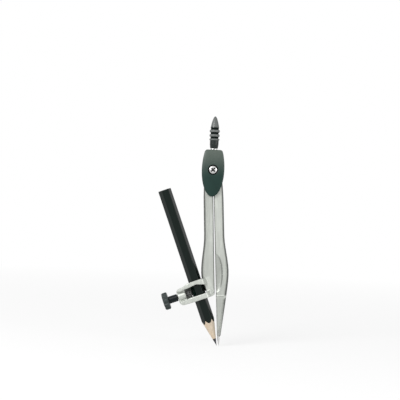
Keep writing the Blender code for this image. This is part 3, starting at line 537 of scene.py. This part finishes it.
def lacquer(colours):
    """Glossy lacquer on wood, with the grain just telegraphing through."""
    made, tree, shader = finish("pencil_lacquer", 0.2, specular=0.2)
    grain = noise(tree, 1400, vector=place_on(tree, stretch=(1, 1, 0.08)))
    base = mottled(tree, grain, colours.lacquer, 0.85, 1.2)
    feed(tree, shader, base, span(tree, grain, 0.13, 0.22))
    bump(tree, shader, grain, 0.01 * MM)
    return made


def cedar(colours):
    """Bare cedar: long fibres, darker growth bands and small pores."""
    made, tree, shader = finish("bare_cedar", 0.62, specular=0.3)
    tilt = math.atan2(PENCIL_UP[0], PENCIL_UP[2])
    along = place_on(tree, turn=(0, -tilt, 0), stretch=(1, 1, 0.07))
    fibre = noise(tree, 2600, 5, 0.6, along)
    base = mottled(tree, fibre, colours.cedar, 0.86, 1.08, 0.35, 0.65)
    bands = span(tree, noise(tree, 620, 2, vector=along), 0, 0.45, 0.45, 0.62)
    late_wood = [channel * share for channel, share in zip(colours.cedar, (0.86, 0.75, 0.64))]
    feed(tree, shader, blend(tree, bands, base, late_wood))
    bump(tree, shader, fibre, 0.03 * MM)
    return made


def graphite(colours):
    """Sharpened graphite: dark grey with a soft metallic sheen and turning marks."""
    made, tree, shader = finish("sharpened_graphite", 0.38, metallic=0.35)
    marks = noise(tree, 5200)
    feed(tree, shader, mottled(tree, marks, colours.graphite, 0.75, 1.3))
    bump(tree, shader, marks, 0.01 * MM)
    return made


# ---- what a user may change ----
def length(name, description, default):
    """A length in millimetres."""
    return FloatProperty(name=name, description=description, default=default * MM, min=0.0,
                         precision=5, subtype="DISTANCE", unit="LENGTH")


def angle_of(name, description, default):
    """An angle in degrees."""
    return FloatProperty(name=name, description=description, default=math.radians(default),
                         subtype="ANGLE", unit="ROTATION")


def colour(name, description, default):
    """A colour in linear light."""
    return FloatVectorProperty(name=name, description=description, default=default, min=0.0,
                               max=1.0, size=3, subtype="COLOR")


class CompassColours(bpy.types.PropertyGroup):
    """Colours of the finishes."""

    casting: colour("Casting", "Satin plating of both legs and the ring", (0.418, 0.436, 0.404))
    steel: colour("Steel", "Screws, stem, nut and needle", (0.74, 0.74, 0.73))
    cover: colour("Covers", "Plastic of the head's two covers", (0.007, 0.025, 0.020))
    # Painted reflection: the covers' upper ends lighter, where the light above shows on them
    cover_reflection: colour("Cover reflection", "Their upper ends, lighter as painted light", (0.075, 0.093, 0.080))
    grip: colour("Grip", "Glossy plastic of the grip", (0.002, 0.006, 0.005))
    # Painted highlight on the grip's lands and nose, partly also wear
    grip_highlight: colour("Grip highlight", "Its lands and nose, lighter as painted light", (0.112, 0.119, 0.116))
    knob: colour("Knob", "Plastic of the thumb knob", (0.031, 0.039, 0.038))
    hub: colour("Hub", "Plastic of the knob's hub", (0.001, 0.004, 0.005))
    washer: colour("Washers", "Nylon of the three washers", (0.72, 0.71, 0.67))
    lacquer: colour("Lacquer", "Lacquer of the pencil", (0.001, 0.005, 0.0036))
    cedar: colour("Cedar", "Bare wood of the pencil", (0.56, 0.478, 0.375))
    graphite: colour("Graphite", "Lead of the pencil", (0.035, 0.035, 0.04))
    floor: colour("Floor", "Floor that the points touch", (0.9, 0.9, 0.9))


class CompassGrip(bpy.types.PropertyGroup):
    """Sizes of the grip and its stem, as heights above the pivot and radii."""

    foot: length("Foot", "Height of the grip's lower end", 12.9)
    barrel: length("Barrel", "Height where the barrel starts", 15.2)
    barrel_end: length("Barrel end", "Height where the barrel meets the lowest land", 17.6)
    first_groove: length("First groove", "Height of the lowest groove", 19.33)
    groove_pitch: length("Groove pitch", "Distance from groove to groove", 2.65)
    groove_width: length("Groove width", "Width of a groove at its rim", 1.45)
    nose: length("Nose", "Height where the nose starts", 25.4)
    top: length("Top", "Height of the nose's tip", 32.2)
    foot_radius: length("Foot radius", "Radius of the lower end", 2.3)
    barrel_radius: length("Barrel radius", "Radius of the barrel", 2.65)
    land_radius: length("Land radius", "Radius between the grooves", 3.05)
    groove_radius: length("Groove radius", "Radius in the grooves", 2.4)
    nose_radius: length("Nose radius", "Radius where the nose starts", 2.6)
    bore: length("Bore", "Radius of the stem's bore", 1.35)
    bore_top: length("Bore top", "Height of the bore's end", 21.1)


class CompassHardware(bpy.types.PropertyGroup):
    """Sizes of the pivot screw, its nut and the needle."""

    cross_length: length("Cross length", "Length of the cross recess", 3.0)
    cross_width: length("Cross width", "Width of the cross recess", 0.75)
    cross_depth: length("Cross depth", "Depth of the cross recess", 0.85)
    head_radius: length("Head radius", "Radius of the screw's head", 2.35)
    head_height: length("Head height", "Height of the screw's head", 1.0)
    shank_radius: length("Shank radius", "Radius of the screw's shank", 1.5)
    nut_across: length("Nut across flats", "Width of the nut", 5.0)
    point_length: length("Point length", "Length of the needle's ground point", 4.6)
    needle_radius: length("Needle radius", "Radius of the needle", 0.72)


class CompassPencil(bpy.types.PropertyGroup):
    """Sizes of the pencil."""

    across: length("Across flats", "Width of the pencil", 6.9)
    roll: angle_of("Roll", "Turn of the pencil about its axis", 6.5)
    half_angle: angle_of("Point half angle", "Half the angle of the sharpened cone", 13.5)
    lead_radius: length("Lead radius", "Radius of the lead", 1.05)
    tip_radius: length("Tip radius", "Radius of the blunt tip", 0.25)


class CompassClamp(bpy.types.PropertyGroup):
    """Sizes of the clamp screw and its knob."""

    screw_radius: length("Screw radius", "Outer radius of the clamp screw", 1.5)
    pitch: length("Pitch", "Pitch of the screw's thread", 0.7)
    thread_depth: length("Thread depth", "Depth of the thread", 0.24)
    tip_radius: length("Tip radius", "Radius of the plain tip", 1.1)
    tip_length: length("Tip length", "Length of the plain tip", 1.2)
    knob_radius: length("Knob radius", "Radius over the ribs", 5.25)
    knob_depth: length("Knob depth", "Thickness of the knob", 3.4)
    hub_radius: length("Hub radius", "Radius of the hub", 2.2)
    flute_depth: length("Flute depth", "Depth of a flute", 0.7)
    flutes: IntProperty(name="Flutes", description="Number round the knob", default=9, min=3)


class CompassCasting(bpy.types.PropertyGroup):
    """How softly the cast and moulded shells are edged."""

    voxel: length("Casting voxel", "Grain of the legs' skin", 0.2)
    cover_voxel: length("Cover voxel", "Grain of the covers' skin", 0.14)
    passes: IntProperty(name="Smoothing", description="Smoothing passes", default=5, min=0)
    ring_passes: IntProperty(name="Ring smoothing", description="Further passes over the ring",
                             default=14, min=0)


# ---- pieces ----
class COMPASS_OT_castings(bpy.types.Operator):
    """Both legs, the left one with its ring, as satin castings"""

    bl_idname = "compass.castings"
    bl_label = "Cast legs"

    GUSSET_HALF = np.array([2.1, 1.6, 0.7]) * MM  # half its size outwards, upwards, backwards
    GUSSET_AT = np.array([6.4, -2.35, 4.2]) * MM  # its middle, from the ring's middle
    GUSSET_POWER = 7
    # Painted shade where the gusset looks into the ring, lifted to the leg's tone outside it
    GUSSET_DARK, GUSSET_LIFT = 0.32, 0.78  # its tone inside the ring, and how much more outside

    def execute(self, context):
        sizes, colours = context.scene.compass_casting, context.scene.compass_colours
        metal = cast_metal(colours)
        for leg, ring_passes in (("needle_leg", 0), ("pencil_leg", sizes.ring_passes)):
            soft_casting(leg, leg + "_casting", leg, metal, sizes.voxel, sizes.passes,
                         {"tone": plating_tone}, ring_passes)
        grid, tone = self.gusset_grid()
        skin("ring_gusset", grid, "pencil_leg", [metal], marks={"tone": tone})
        return {"FINISHED"}

    def gusset_grid(self):
        """The gusset in the ring's lower rear corner, between the boss and the rear wall.

        It is the surface |x / a|^p + |y / b|^p + |z / c|^p = 1: cos and sin of the two angles are
        raised to 2 / p, their signs kept. The second grid is its tone, dark as painted shade on the
        side that looks into the ring.
        """
        rise, turn = np.linspace(-math.pi / 2, math.pi / 2, 25)[:, None], around(64)
        waves, power = (np.cos(rise), np.sin(rise), np.cos(turn), np.sin(turn)), self.GUSSET_POWER
        wide, tall, x, y = (np.sign(wave) * np.abs(wave) ** (2 / power) for wave in waves)
        ball = np.stack([wide * x, wide * y, tall + 0 * turn], axis=-1)
        grid = ball * self.GUSSET_HALF + self.GUSSET_AT
        tone = self.GUSSET_DARK + self.GUSSET_LIFT * ease(4.3 * MM, 4.8 * MM, grid[..., 2])
        return Seat(RING_AT, (0, 1, 0), CLAMP_OUT).world(grid), tone


class COMPASS_OT_covers(bpy.types.Operator):
    """The two satin covers of the head"""

    bl_idname = "compass.covers"
    bl_label = "Head covers"

    RECESS_RADIUS = 3.3 * MM

    def execute(self, context):
        sizes, colours = context.scene.compass_casting, context.scene.compass_colours
        # The covers take a painted reflection at their upper ends and painted shade down in the
        # screw's recess and the nut's pocket
        plastic = moulded("satin_cover", colours.cover, 0.36, 0.22, 3600, 0.012 * MM,
                          [("painted_light", colours.cover_reflection), ("sunk", tinted(colours.cover, 0.1))])
        for cover in ("front_cover", "rear_cover"):
            soft_casting(cover, cover + "_moulding", "head", plastic,
                         sizes.cover_voxel, sizes.passes,
                         {"painted_light": self.reflection_share, "sunk": self.recess_share})
        return {"FINISHED"}

    def reflection_share(self, points, normals):
        """Rises from 0 under the screw to 1 at the top: a painted reflection of the light above."""
        return ease(-5 * MM, 12 * MM, points[:, 2] - PIVOT[2])

    def recess_share(self, points, normals):
        """1 down in the screw's recess and the nut's pocket, where the covers take painted shade.
        """
        across = np.hypot(points[:, 0] - PIVOT[0], points[:, 2] - PIVOT[2])
        under = np.abs(points[:, 1]).max() - np.abs(points[:, 1])
        return ease(0.15 * MM, 0.8 * MM, under) * (across < self.RECESS_RADIUS)


class COMPASS_OT_handle(bpy.types.Operator):
    """The grooved grip and the bright stem under it"""

    bl_idname = "compass.handle"
    bl_label = "Grip and stem"

    def execute(self, context):
        sizes, colours = context.scene.compass_grip, context.scene.compass_colours
        # The lands and nose take a painted highlight, partly also wear
        plastic = moulded("glossy_grip", colours.grip, 0.2, 0.26, 5200, 0.004 * MM,
                          [("wear_and_highlight", colours.grip_highlight)])
        # Painted shade in the grooves: a darker, less glossy plastic
        groove_shade = moulded("shaded_grooves", tinted(colours.grip, 0.7), 0.6, 0.06, 5200, 0.004 * MM)
        profile = self.grip_profile(sizes)
        grip = skin("turned_grip", lathe(profile, 128, HEAD_SEAT), "head",
                    [plastic, groove_shade], self.in_groove(sizes, profile), close_rows=True,
                    marks={"wear_and_highlight": self.grip_highlight_share(sizes, profile)[:, None]})
        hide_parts("grip")
        pin, collar, neck, flange = 1.25 * MM, 2.15 * MM, 1.6 * MM, 2.3 * MM
        low, high = HEAD_SEAT.reach("grip_stem")
        collar_top, flange_top = sizes.foot - 0.2 * MM, low + 1.3 * MM
        collar_foot = collar_top - 0.6 * MM
        corners = [(0, high, 0), (pin, high, 0.2 * MM), (pin, collar_top, 0.05 * MM),
                   (collar, collar_top, 0.15 * MM), (collar, collar_foot, 0.15 * MM),
                   (neck, collar_foot, 0.05 * MM), (neck, flange_top, 0.05 * MM),
                   (flange, flange_top, 0.12 * MM), (flange, low, 0.12 * MM), (0, low, 0)]
        stem = skin("turned_stem", lathe(dense(rounded(corners, 5), 0.3 * MM), 64, HEAD_SEAT),
                    "head", [bright_steel(colours)])
        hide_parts("grip_stem")
        return {"FINISHED"}

    @staticmethod
    def in_groove(sizes, profile):
        """1 for the rows that lie down in a groove, which take the painted shade."""
        radius, height = profile.T
        return ((radius > sizes.bore + 0.1 * MM) & (radius < sizes.groove_radius + 0.12 * MM)
                & (height > sizes.barrel_end + 0.5 * MM) & (height < sizes.nose)).astype(int)

    @staticmethod
    def grip_highlight_share(sizes, profile):
        """How far each row takes the lighter colour, a painted highlight that partly also stands
        for wear: wholly on lands and nose, a little on the barrel.
        """
        radius, height = profile.T
        lands = ease(sizes.groove_radius + 0.25 * MM, sizes.land_radius - 0.1 * MM, radius)
        nose = ease(sizes.nose - 0.2 * MM, sizes.nose + 0.6 * MM, height)
        barrel = 0.08 * (1 - ease(sizes.barrel_end, sizes.barrel_end + 0.4 * MM, height))
        return np.clip(np.maximum(lands + nose, barrel), 0, 1)

    @staticmethod
    def grip_profile(sizes):
        """The grip's outline from the foot up, and down again inside its bore.

        The height goes down from the nose's tip with the square of the radius,
        and each groove is a dip between two rounded lands.
        """
        corners = [(sizes.bore, sizes.bore_top, 0), (sizes.bore, sizes.foot, 0),
                   (sizes.foot_radius, sizes.foot, 0.2 * MM),
                   (sizes.barrel_radius, sizes.barrel, 1.2 * MM),
                   (sizes.barrel_radius, sizes.barrel_end, 0.25 * MM),
                   (sizes.land_radius, sizes.barrel_end + 0.5 * MM, 0.25 * MM)]
        half = sizes.groove_width / 2
        for groove in range(3):
            middle = sizes.first_groove + groove * sizes.groove_pitch
            above = sizes.land_radius if groove < 2 else sizes.nose_radius + 0.02 * MM
            corners += [(sizes.land_radius, middle - half, 0.2 * MM),
                        (sizes.groove_radius, middle - 0.6 * half, 0.2 * MM),
                        (sizes.groove_radius, middle + 0.6 * half, 0.2 * MM),
                        (above, middle + half, 0.15 * MM)]
        corners.append((sizes.nose_radius, sizes.nose, 0))
        share = np.linspace(1, 0, 60)[1:-1]
        nose = [sizes.nose_radius * share, sizes.top - (sizes.top - sizes.nose) * share ** 2]
        inner = np.array([[0.0, sizes.top], [0.0, sizes.bore_top], [sizes.bore, sizes.bore_top]])
        line = np.concatenate([rounded(corners), np.stack(nose, axis=1), inner])
        return dense(line, 0.25 * MM)[:-1]


class COMPASS_OT_pivot(bpy.types.Operator):
    """The cross-head pivot screw, its nut and the nylon washers"""

    bl_idname = "compass.pivot"
    bl_label = "Pivot screw"

    def execute(self, context):
        sizes, colours = context.scene.compass_hardware, context.scene.compass_colours
        steel = bright_steel(colours, "plated_screw", 0.78, 0.24)
        # Painted shade in the cross and on the head's side
        shaded_steel = bright_steel(colours, "recessed_screw", 0.78, 0.24, shaded="sunk")
        grid, sunk = self.screw_grid(sizes)
        screw = skin("cross_head_screw", grid, "head", [shaded_steel],
                     marks={"sunk": sunk})
        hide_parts("pivot_screw")
        nut = skin("hexagon_nut", self.nut_grid(sizes), "head", [steel],
                   close_rows=True)
        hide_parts("pivot_nut")
        nylon = moulded("natural_nylon", colours.washer, 0.5, 0.4, 2600, 0.01 * MM)
        for name in ("front_washer", "middle_washer", "rear_washer"):
            materials = frame["nodes"][name].data.materials
            materials.clear()
            materials.append(nylon)
        return {"FINISHED"}

    @staticmethod
    def screw_grid(sizes):
        """A low dome with a cross sunk in it, over a plain shank.

        The dome's height is top - rise (r / R)^3. A point is in the cross where its smaller
        distance from the arms' centre lines, at 45 degrees, is under half the width and the larger
        under half the length, both eased. The second grid is painted shade: 1 in the cross and 0.8
        on the head's side.
        """
        low, high = SCREW_SEAT.reach("pivot_screw")
        base = high - sizes.head_height
        dome_radius, soft = sizes.head_radius - 0.1 * MM, 0.09 * MM
        rise, angle = 0.42 * sizes.head_height, around(256)
        share = np.concatenate([np.linspace(0, 0.7, 76), np.linspace(0.7, 1, 22)[1:]])[:, None]
        dome = turned(share * dome_radius, high - rise * share ** 3, angle)
        x, y = dome[..., 0], dome[..., 1]
        arms = np.abs(np.stack([x + y, y - x]) / math.sqrt(2))
        near, far = arms.min(axis=0), arms.max(axis=0)
        across = 1 - ease(sizes.cross_width / 2 - soft, sizes.cross_width / 2 + soft, near)
        along = 1 - ease(sizes.cross_length / 2 - 3 * soft, sizes.cross_length / 2 + soft, far)
        cross = across * along
        dome[..., 2] -= sizes.cross_depth * cross
        rim = rounded([(dome_radius, high - rise, 0),
                       (sizes.head_radius, high - 0.55 * sizes.head_height, 0.1 * MM),
                       (sizes.head_radius, base, 0.1 * MM), (sizes.shank_radius, base, 0.1 * MM),
                       (sizes.shank_radius, low, 0.2 * MM), (0, low, 0)], 5)
        radius, height = np.split(dense(rim, 0.4 * MM)[1:], 2, axis=1)
        grid = np.concatenate([dome, turned(radius, height, angle)])
        edge = ease(sizes.head_radius - 0.06 * MM, sizes.head_radius, radius) + 0 * angle
        return SCREW_SEAT.world(grid), np.concatenate([cross, 0.8 * edge])

    @staticmethod
    def nut_grid(sizes):
        """A hexagon cut by a cone at each face, with a plain bore.

        The radius is the smaller of the hexagon's and the cone's, which starts
        a little inside the flats on the face and opens by 30 degrees.
        """
        low, high = SCREW_SEAT.reach("pivot_nut")
        angle, flat = around(192), sizes.nut_across / 2
        face, bore = flat * 0.97, sizes.shank_radius + 0.2 * MM
        height = np.linspace(low, high, 24)[:, None]
        edge = np.minimum(height - low, high - height)
        outer = np.minimum(hexagon(angle, flat, 90), face + edge * math.sqrt(3))
        inwards = bore + (face - bore) * np.linspace(1, 0, 6)[1:, None] + 0 * angle
        radius = np.concatenate([outer, inwards, inwards[::-1]])
        height = np.concatenate([height, np.full((5, 1), high), np.full((5, 1), low)])
        return SCREW_SEAT.world(turned(radius, height, angle))


class COMPASS_OT_needle(bpy.types.Operator):
    """The ground steel needle in the foot of the right leg"""

    bl_idname = "compass.needle"
    bl_label = "Needle"

    def execute(self, context):
        sizes, colours = context.scene.compass_hardware, context.scene.compass_colours
        _, top = NEEDLE_SEAT.reach("needle")
        share = np.linspace(0, 1, 24)[:, None]
        point = np.concatenate([sizes.needle_radius * share ** 0.86, sizes.point_length * share], 1)
        shank = rounded([(sizes.needle_radius, sizes.point_length, 0),
                         (sizes.needle_radius, top, 0.15 * MM), (0, top, 0)], 5)
        profile = dense(np.concatenate([point, shank[1:]]), 0.5 * MM)
        needle = skin("ground_needle", lathe(profile, 48, NEEDLE_SEAT), "needle_leg",
                      [bright_steel(colours, "needle_steel", 0.85, 0.22)])
        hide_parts("needle")
        return {"FINISHED"}


class COMPASS_OT_pencil(bpy.types.Operator):
    """The hexagonal pencil: lacquered casing, sharpened cone and lead"""

    bl_idname = "compass.pencil"
    bl_label = "Pencil"

    def execute(self, context):
        sizes, colours = context.scene.compass_pencil, context.scene.compass_colours
        grid, kinds = self.casing_grid(sizes)
        casing = skin("sharpened_casing", grid, "pencil",
                      [lacquer(colours), cedar(colours)], kinds, close_rows=True)
        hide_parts("pencil_casing")
        low, high = PENCIL_SEAT.reach("pencil_lead")
        top, wood_end = high - 0.02 * MM, PENCIL_SEAT.reach("pencil_casing")[0]
        cone = (sizes.lead_radius - sizes.tip_radius) / math.tan(sizes.half_angle)
        corners = [(0, top, 0), (sizes.lead_radius, top, 0.05 * MM),
                   (sizes.lead_radius, wood_end, 0),
                   (sizes.tip_radius, wood_end - cone, 0.2 * MM), (0, low, 0)]
        lead = skin("sharpened_lead", lathe(dense(rounded(corners, 6), 0.6 * MM), 64, PENCIL_SEAT),
                    "pencil", [graphite(colours)])
        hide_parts("pencil_lead")
        return {"FINISHED"}

    @staticmethod
    def casing_grid(sizes):
        """The casing's skin: rows down the lacquer, down the wood, up the bore and out again.

        The hexagon has the radius h(angle) and the sharpener's cone (z - tip)
        tan(half angle), so the lacquer ends in scallops at z = tip + h / tan(half
        angle), plus a little sin(11 angle) cos(7 angle). Lacquer rows share out
        the way from the top to that line, and wood rows from it to the lead.
        """
        low, high = PENCIL_SEAT.reach("pencil_casing")
        slope, bore = math.tan(sizes.half_angle), sizes.lead_radius + 0.02 * MM
        tip, shoulder = low - sizes.lead_radius / slope, high - 0.25 * MM
        angle = around(240)
        hexed = hexagon(angle - sizes.roll, sizes.across / 2, 45)
        edge = tip + hexed / slope + 0.12 * MM * np.sin(11 * angle + 1.3) * np.cos(7 * angle)
        down, out = np.linspace(0, 1, 60)[:, None], np.linspace(0, 1, 6)[1:, None]
        lacquer_height = shoulder + (edge - shoulder) * down
        share = np.linspace(0, 1, 40)[1:, None]
        wood_height = edge + (low - edge) * share
        wood_radius = (wood_height - tip) * slope - 0.05 * MM * np.sin(math.pi * share)
        up = np.linspace(low, high, 12)[1:, None] + 0 * angle
        top = bore + (hexed - 0.12 * MM - bore) * out
        radius = np.concatenate([hexed + 0 * down, wood_radius, np.full_like(up, bore), top])
        height = np.concatenate([lacquer_height, wood_height, up, np.full_like(top, high)])
        kinds = np.ones(len(radius), int)
        kinds[:len(down) - 1] = kinds[-1] = 0
        return PENCIL_SEAT.world(turned(radius, height, angle)), kinds


class COMPASS_OT_clamp(bpy.types.Operator):
    """The threaded clamp screw and its fluted thumb knob"""

    bl_idname = "compass.clamp"
    bl_label = "Clamp screw and knob"

    def execute(self, context):
        sizes, colours = context.scene.compass_clamp, context.scene.compass_colours
        # The clamp steel is darkened to a fifth: partly the screw's own dark finish, partly painted
        # shade inside the ring
        screw = skin("threaded_clamp_screw", self.screw_grid(sizes), "clamp_screw",
                     [bright_steel(colours, "clamp_steel", 0.2, 0.3)])
        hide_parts("clamp_screw")
        grid, hub = self.knob_grid(sizes)
        plastic = moulded("satin_knob", colours.knob, 0.33, 0.2, 3200, 0.012 * MM,
                          [("hub", colours.hub)])
        knob = skin("fluted_knob", grid, "thumb_knob", [plastic],
                    close_rows=True, marks={"hub": hub})
        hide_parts("thumb_knob")
        return {"FINISHED"}

    @staticmethod
    def screw_grid(sizes):
        """A screw with a thread: radius = outer - depth |2 frac(z / pitch - angle / 2pi) - 1|.

        The thread fades out over one pitch at either end.
        """
        low, high = CLAMP_SEAT.reach("clamp_screw")
        angle, start, rows_a_turn = around(48), low + sizes.tip_length, 12
        rows = int((high - start) / sizes.pitch * rows_a_turn)
        height = np.linspace(start, high - 0.2 * MM, rows)[:, None]
        turns = height / sizes.pitch - angle / (2 * math.pi)
        ridge = np.abs(2 * (turns - np.floor(turns)) - 1)
        fade = (ease(start, start + sizes.pitch, height)
                * (1 - ease(high - 2 * sizes.pitch, high - sizes.pitch, height)))
        radius = sizes.screw_radius - sizes.thread_depth * (ridge * fade + (1 - fade) * 0.5)
        tip = rounded([(0, low, 0), (sizes.tip_radius, low, 0.2 * MM),
                       (sizes.tip_radius, start, 0)], 6)
        end = np.array([[sizes.screw_radius - 0.3 * MM, high], [0, high]])
        stretches = ((tip[:, :1], tip[:, 1:]), (radius, height), (end[:, :1], end[:, 1:]))
        grid = np.concatenate([turned(*stretch, angle) for stretch in stretches])
        return CLAMP_SEAT.world(grid)

    @staticmethod
    def knob_grid(sizes):
        """The knob and its hub as one skin, from the bore out and back.

        Beyond the hub the radius is scaled by 1 - depth / R (1/2 - 1/2 cos(n
        angle))^2, which sinks n flutes. The second grid is 1 on the hub.
        """
        low, high = CLAMP_SEAT.reach("thumb_knob")
        rim, back, dish = sizes.knob_radius, high - sizes.knob_depth, high - 0.35 * MM
        bore = sizes.screw_radius + 0.1 * MM
        end = CLAMP_SEAT.reach("clamp_screw")[1] + 0.2 * MM
        corners = [(bore, end, 0), (bore, low, 0), (sizes.hub_radius, low, 0.15 * MM),
                   (sizes.hub_radius, back, 0.35 * MM), (rim, back, 0.7 * MM),
                   (rim, high, 1.1 * MM), (rim * 0.62, high, 0.3 * MM),
                   (rim * 0.55, dish, 0.3 * MM), (0, dish, 0)]
        profile = np.concatenate([dense(rounded(corners), 0.2 * MM), [[0.0, end]]])
        radius, height = np.split(profile, 2, axis=1)
        angle = around(216)
        sink = (0.5 - 0.5 * np.cos(sizes.flutes * angle)) ** 2
        beyond = ease(sizes.hub_radius * 1.3, rim * 0.85, radius)
        fluted = radius * (1 - beyond * sizes.flute_depth / rim * sink)
        hub = 1 - ease(sizes.hub_radius, sizes.hub_radius + 0.4 * MM, radius)
        return CLAMP_SEAT.world(turned(fluted, height, angle)), hub


# ---- stage ----
class CompassStage(bpy.types.PropertyGroup):
    """Camera and light."""

    lens: FloatProperty(name="Lens", description="Focal length", default=100.0, min=1.0,
                        subtype="DISTANCE_CAMERA", unit="CAMERA")
    distance: length("Distance", "From the camera to the compass", 666.7)
    aim: FloatVectorProperty(name="Aim", description="Point that the camera looks at",
                             default=(-0.00698, 0.0, -0.04034), size=3, subtype="TRANSLATION",
                             unit="LENGTH")
    roll: angle_of("Roll", "Turn of the camera about its view", -2.6)
    ambient: FloatProperty(name="Ambient", description="Light from all round", default=0.6, min=0.0)
    key: FloatProperty(name="Key", description="Power of the large light above on the left",
                       default=4.4, min=0.0, unit="POWER")
    fill: FloatProperty(name="Fill", description="Power of the light on the right", default=0.8,
                        min=0.0, unit="POWER")


KEY_AT, KEY_SIZE = (-0.42, -0.52, 0.26), 0.36
FILL_AT, FILL_SIZE = (0.45, -0.35, 0.05), 0.30
LIT_POINT = (0, 0, -0.06)  # both lamps face it
FLOOR_HALF = 1.5


def seen_directly(tree):
    """1 for rays from the camera, from gloss and through glass, 0 for light on matt surfaces."""
    rays = node(tree, "ShaderNodeLightPath").outputs
    seen = rays["Is Camera Ray"]
    for kind in ("Is Glossy Ray", "Is Transmission Ray"):
        seen = node(tree, "ShaderNodeMath", {0: seen, 1: rays[kind]},
                    operation="MAXIMUM").outputs[0]
    return seen


class COMPASS_OT_stage(bpy.types.Operator):
    """A pale floor under the points, soft light and the camera"""

    bl_idname = "compass.stage"
    bl_label = "Stage"

    def execute(self, context):
        scene, sizes = context.scene, context.scene.compass_stage
        scene.view_settings.view_transform = "Standard"
        self.floor(scene, scene.compass_colours.floor)
        self.world(scene, sizes)
        self.lamp(scene, "key_light", KEY_AT, KEY_SIZE, sizes.key)
        self.lamp(scene, "fill_light", FILL_AT, FILL_SIZE, sizes.fill)
        camera = bpy.data.objects.new("camera", bpy.data.cameras.new("camera"))
        scene.collection.objects.link(camera)
        camera.data.lens = sizes.lens
        camera.data.clip_start = 0.01
        place = Vector(sizes.aim) - Vector((0, sizes.distance, 0))
        camera.matrix_world = (Matrix.Translation(place) @ Matrix.Rotation(sizes.roll, 4, "Y")
                               @ Matrix.Rotation(math.radians(90), 4, "X"))
        scene.camera = camera
        return {"FINISHED"}

    @staticmethod
    def floor(scene, tone):
        """A large flat square just under the points, its grid of heights all equal.

        What the camera and gloss see of it is mixed with plain white, and is all
        white away from the compass, where it meets the background.
        """
        height = CAD_BOX[0].z - 0.02 * MM
        side = np.linspace(-FLOOR_HALF, FLOOR_HALF, 4)
        x, y = np.meshgrid(side, side)
        points = np.stack([x, y, np.full_like(x, height)], axis=-1).reshape(-1, 3)
        index = np.arange(16).reshape(4, 4)
        faces = np.stack([index[:-1, :-1], index[:-1, 1:], index[1:, 1:], index[1:, :-1]], axis=-1)
        mesh = bpy.data.meshes.new("floor")
        mesh.from_pydata(points, [], faces.reshape(-1, 4))
        floor = bpy.data.objects.new("floor", mesh)
        scene.collection.objects.link(floor)
        made, tree, shader = finish("pale_floor", 0.7, specular=0.2)
        feed(tree, shader, mottled(tree, noise(tree, 300, 2), tone, 0.985, 1))
        where = node(tree, "ShaderNodeTexCoord").outputs["Object"]
        away = node(tree, "ShaderNodeVectorMath", {0: where, 1: (0.0, 0.0, height)},
                    operation="DISTANCE").outputs["Value"]
        share = node(tree, "ShaderNodeMath",
                     {0: span(tree, away, 0.72, 1.0, 0.1, 0.7), 1: seen_directly(tree)},
                     operation="MULTIPLY").outputs[0]
        white = node(tree, "ShaderNodeEmission", {"Color": (1, 1, 1, 1), "Strength": 1.0})
        mixed = node(tree, "ShaderNodeMixShader",
                     {0: share, 1: shader.outputs[0], 2: white.outputs[0]})
        tree.links.new(mixed.outputs[0], tree.nodes["Material Output"].inputs["Surface"])
        mesh.materials.append(made)

    @staticmethod
    def world(scene, sizes):
        """White for what the camera, metal and gloss see, and the ambient level for the rest."""
        world = bpy.data.worlds.new("studio")
        scene.world = world
        world.use_nodes = True
        tree = world.node_tree
        background = tree.nodes["Background"]
        background.inputs["Color"].default_value = (1, 1, 1, 1)
        strength = span(tree, seen_directly(tree), sizes.ambient, 1, 0, 1)
        tree.links.new(strength, background.inputs["Strength"])

    @staticmethod
    def lamp(scene, name, place, size, power):
        """A square area light that faces the head."""
        light = bpy.data.lights.new(name, "AREA")
        light.size = size
        light.energy = power
        lamp = bpy.data.objects.new(name, light)
        scene.collection.objects.link(lamp)
        place = Vector(place)
        turn = (Vector(LIT_POINT) - place).to_track_quat("-Z", "Y")
        lamp.matrix_world = Matrix.Translation(place) @ turn.to_matrix().to_4x4()


class COMPASS_PT_panel(bpy.types.Panel):
    """Lists the pieces and their sizes"""

    bl_idname = "COMPASS_PT_panel"
    bl_label = "Drawing compass"
    bl_space_type = "VIEW_3D"
    bl_region_type = "UI"
    bl_category = "Compass"

    def draw(self, context):
        for operator in OPERATORS:
            self.layout.operator(operator.bl_idname)
        for name, _ in GROUPS:
            group = getattr(context.scene, name)
            box = self.layout.box()
            box.label(text=name.replace("_", " ").capitalize())
            for key in group.bl_rna.properties.keys():
                if key not in ("rna_type", "name"):
                    box.prop(group, key)


OPERATORS = (COMPASS_OT_castings, COMPASS_OT_covers, COMPASS_OT_handle, COMPASS_OT_pivot,
             COMPASS_OT_needle, COMPASS_OT_pencil, COMPASS_OT_clamp, COMPASS_OT_stage)
GROUPS = (("compass_colours", CompassColours), ("compass_casting", CompassCasting),
          ("compass_grip", CompassGrip), ("compass_hardware", CompassHardware),
          ("compass_pencil", CompassPencil), ("compass_clamp", CompassClamp),
          ("compass_stage", CompassStage))


def register():
    """Register the groups, operators and panel."""
    for name, group in GROUPS:
        bpy.utils.register_class(group)
        setattr(bpy.types.Scene, name, PointerProperty(type=group))
    for made in (*OPERATORS, COMPASS_PT_panel):
        bpy.utils.register_class(made)


def unregister():
    """Undo register."""
    for made in (COMPASS_PT_panel, *reversed(OPERATORS)):
        bpy.utils.unregister_class(made)
    for name, group in reversed(GROUPS):
        delattr(bpy.types.Scene, name)
        bpy.utils.unregister_class(group)


def main():
    """Make every piece and the stage."""
    register()
    bpy.ops.compass.castings()
    bpy.ops.compass.covers()
    bpy.ops.compass.handle()
    bpy.ops.compass.pivot()
    bpy.ops.compass.needle()
    bpy.ops.compass.pencil()
    bpy.ops.compass.clamp()
    bpy.ops.compass.stage()


if __name__ == "__main__":
    main()
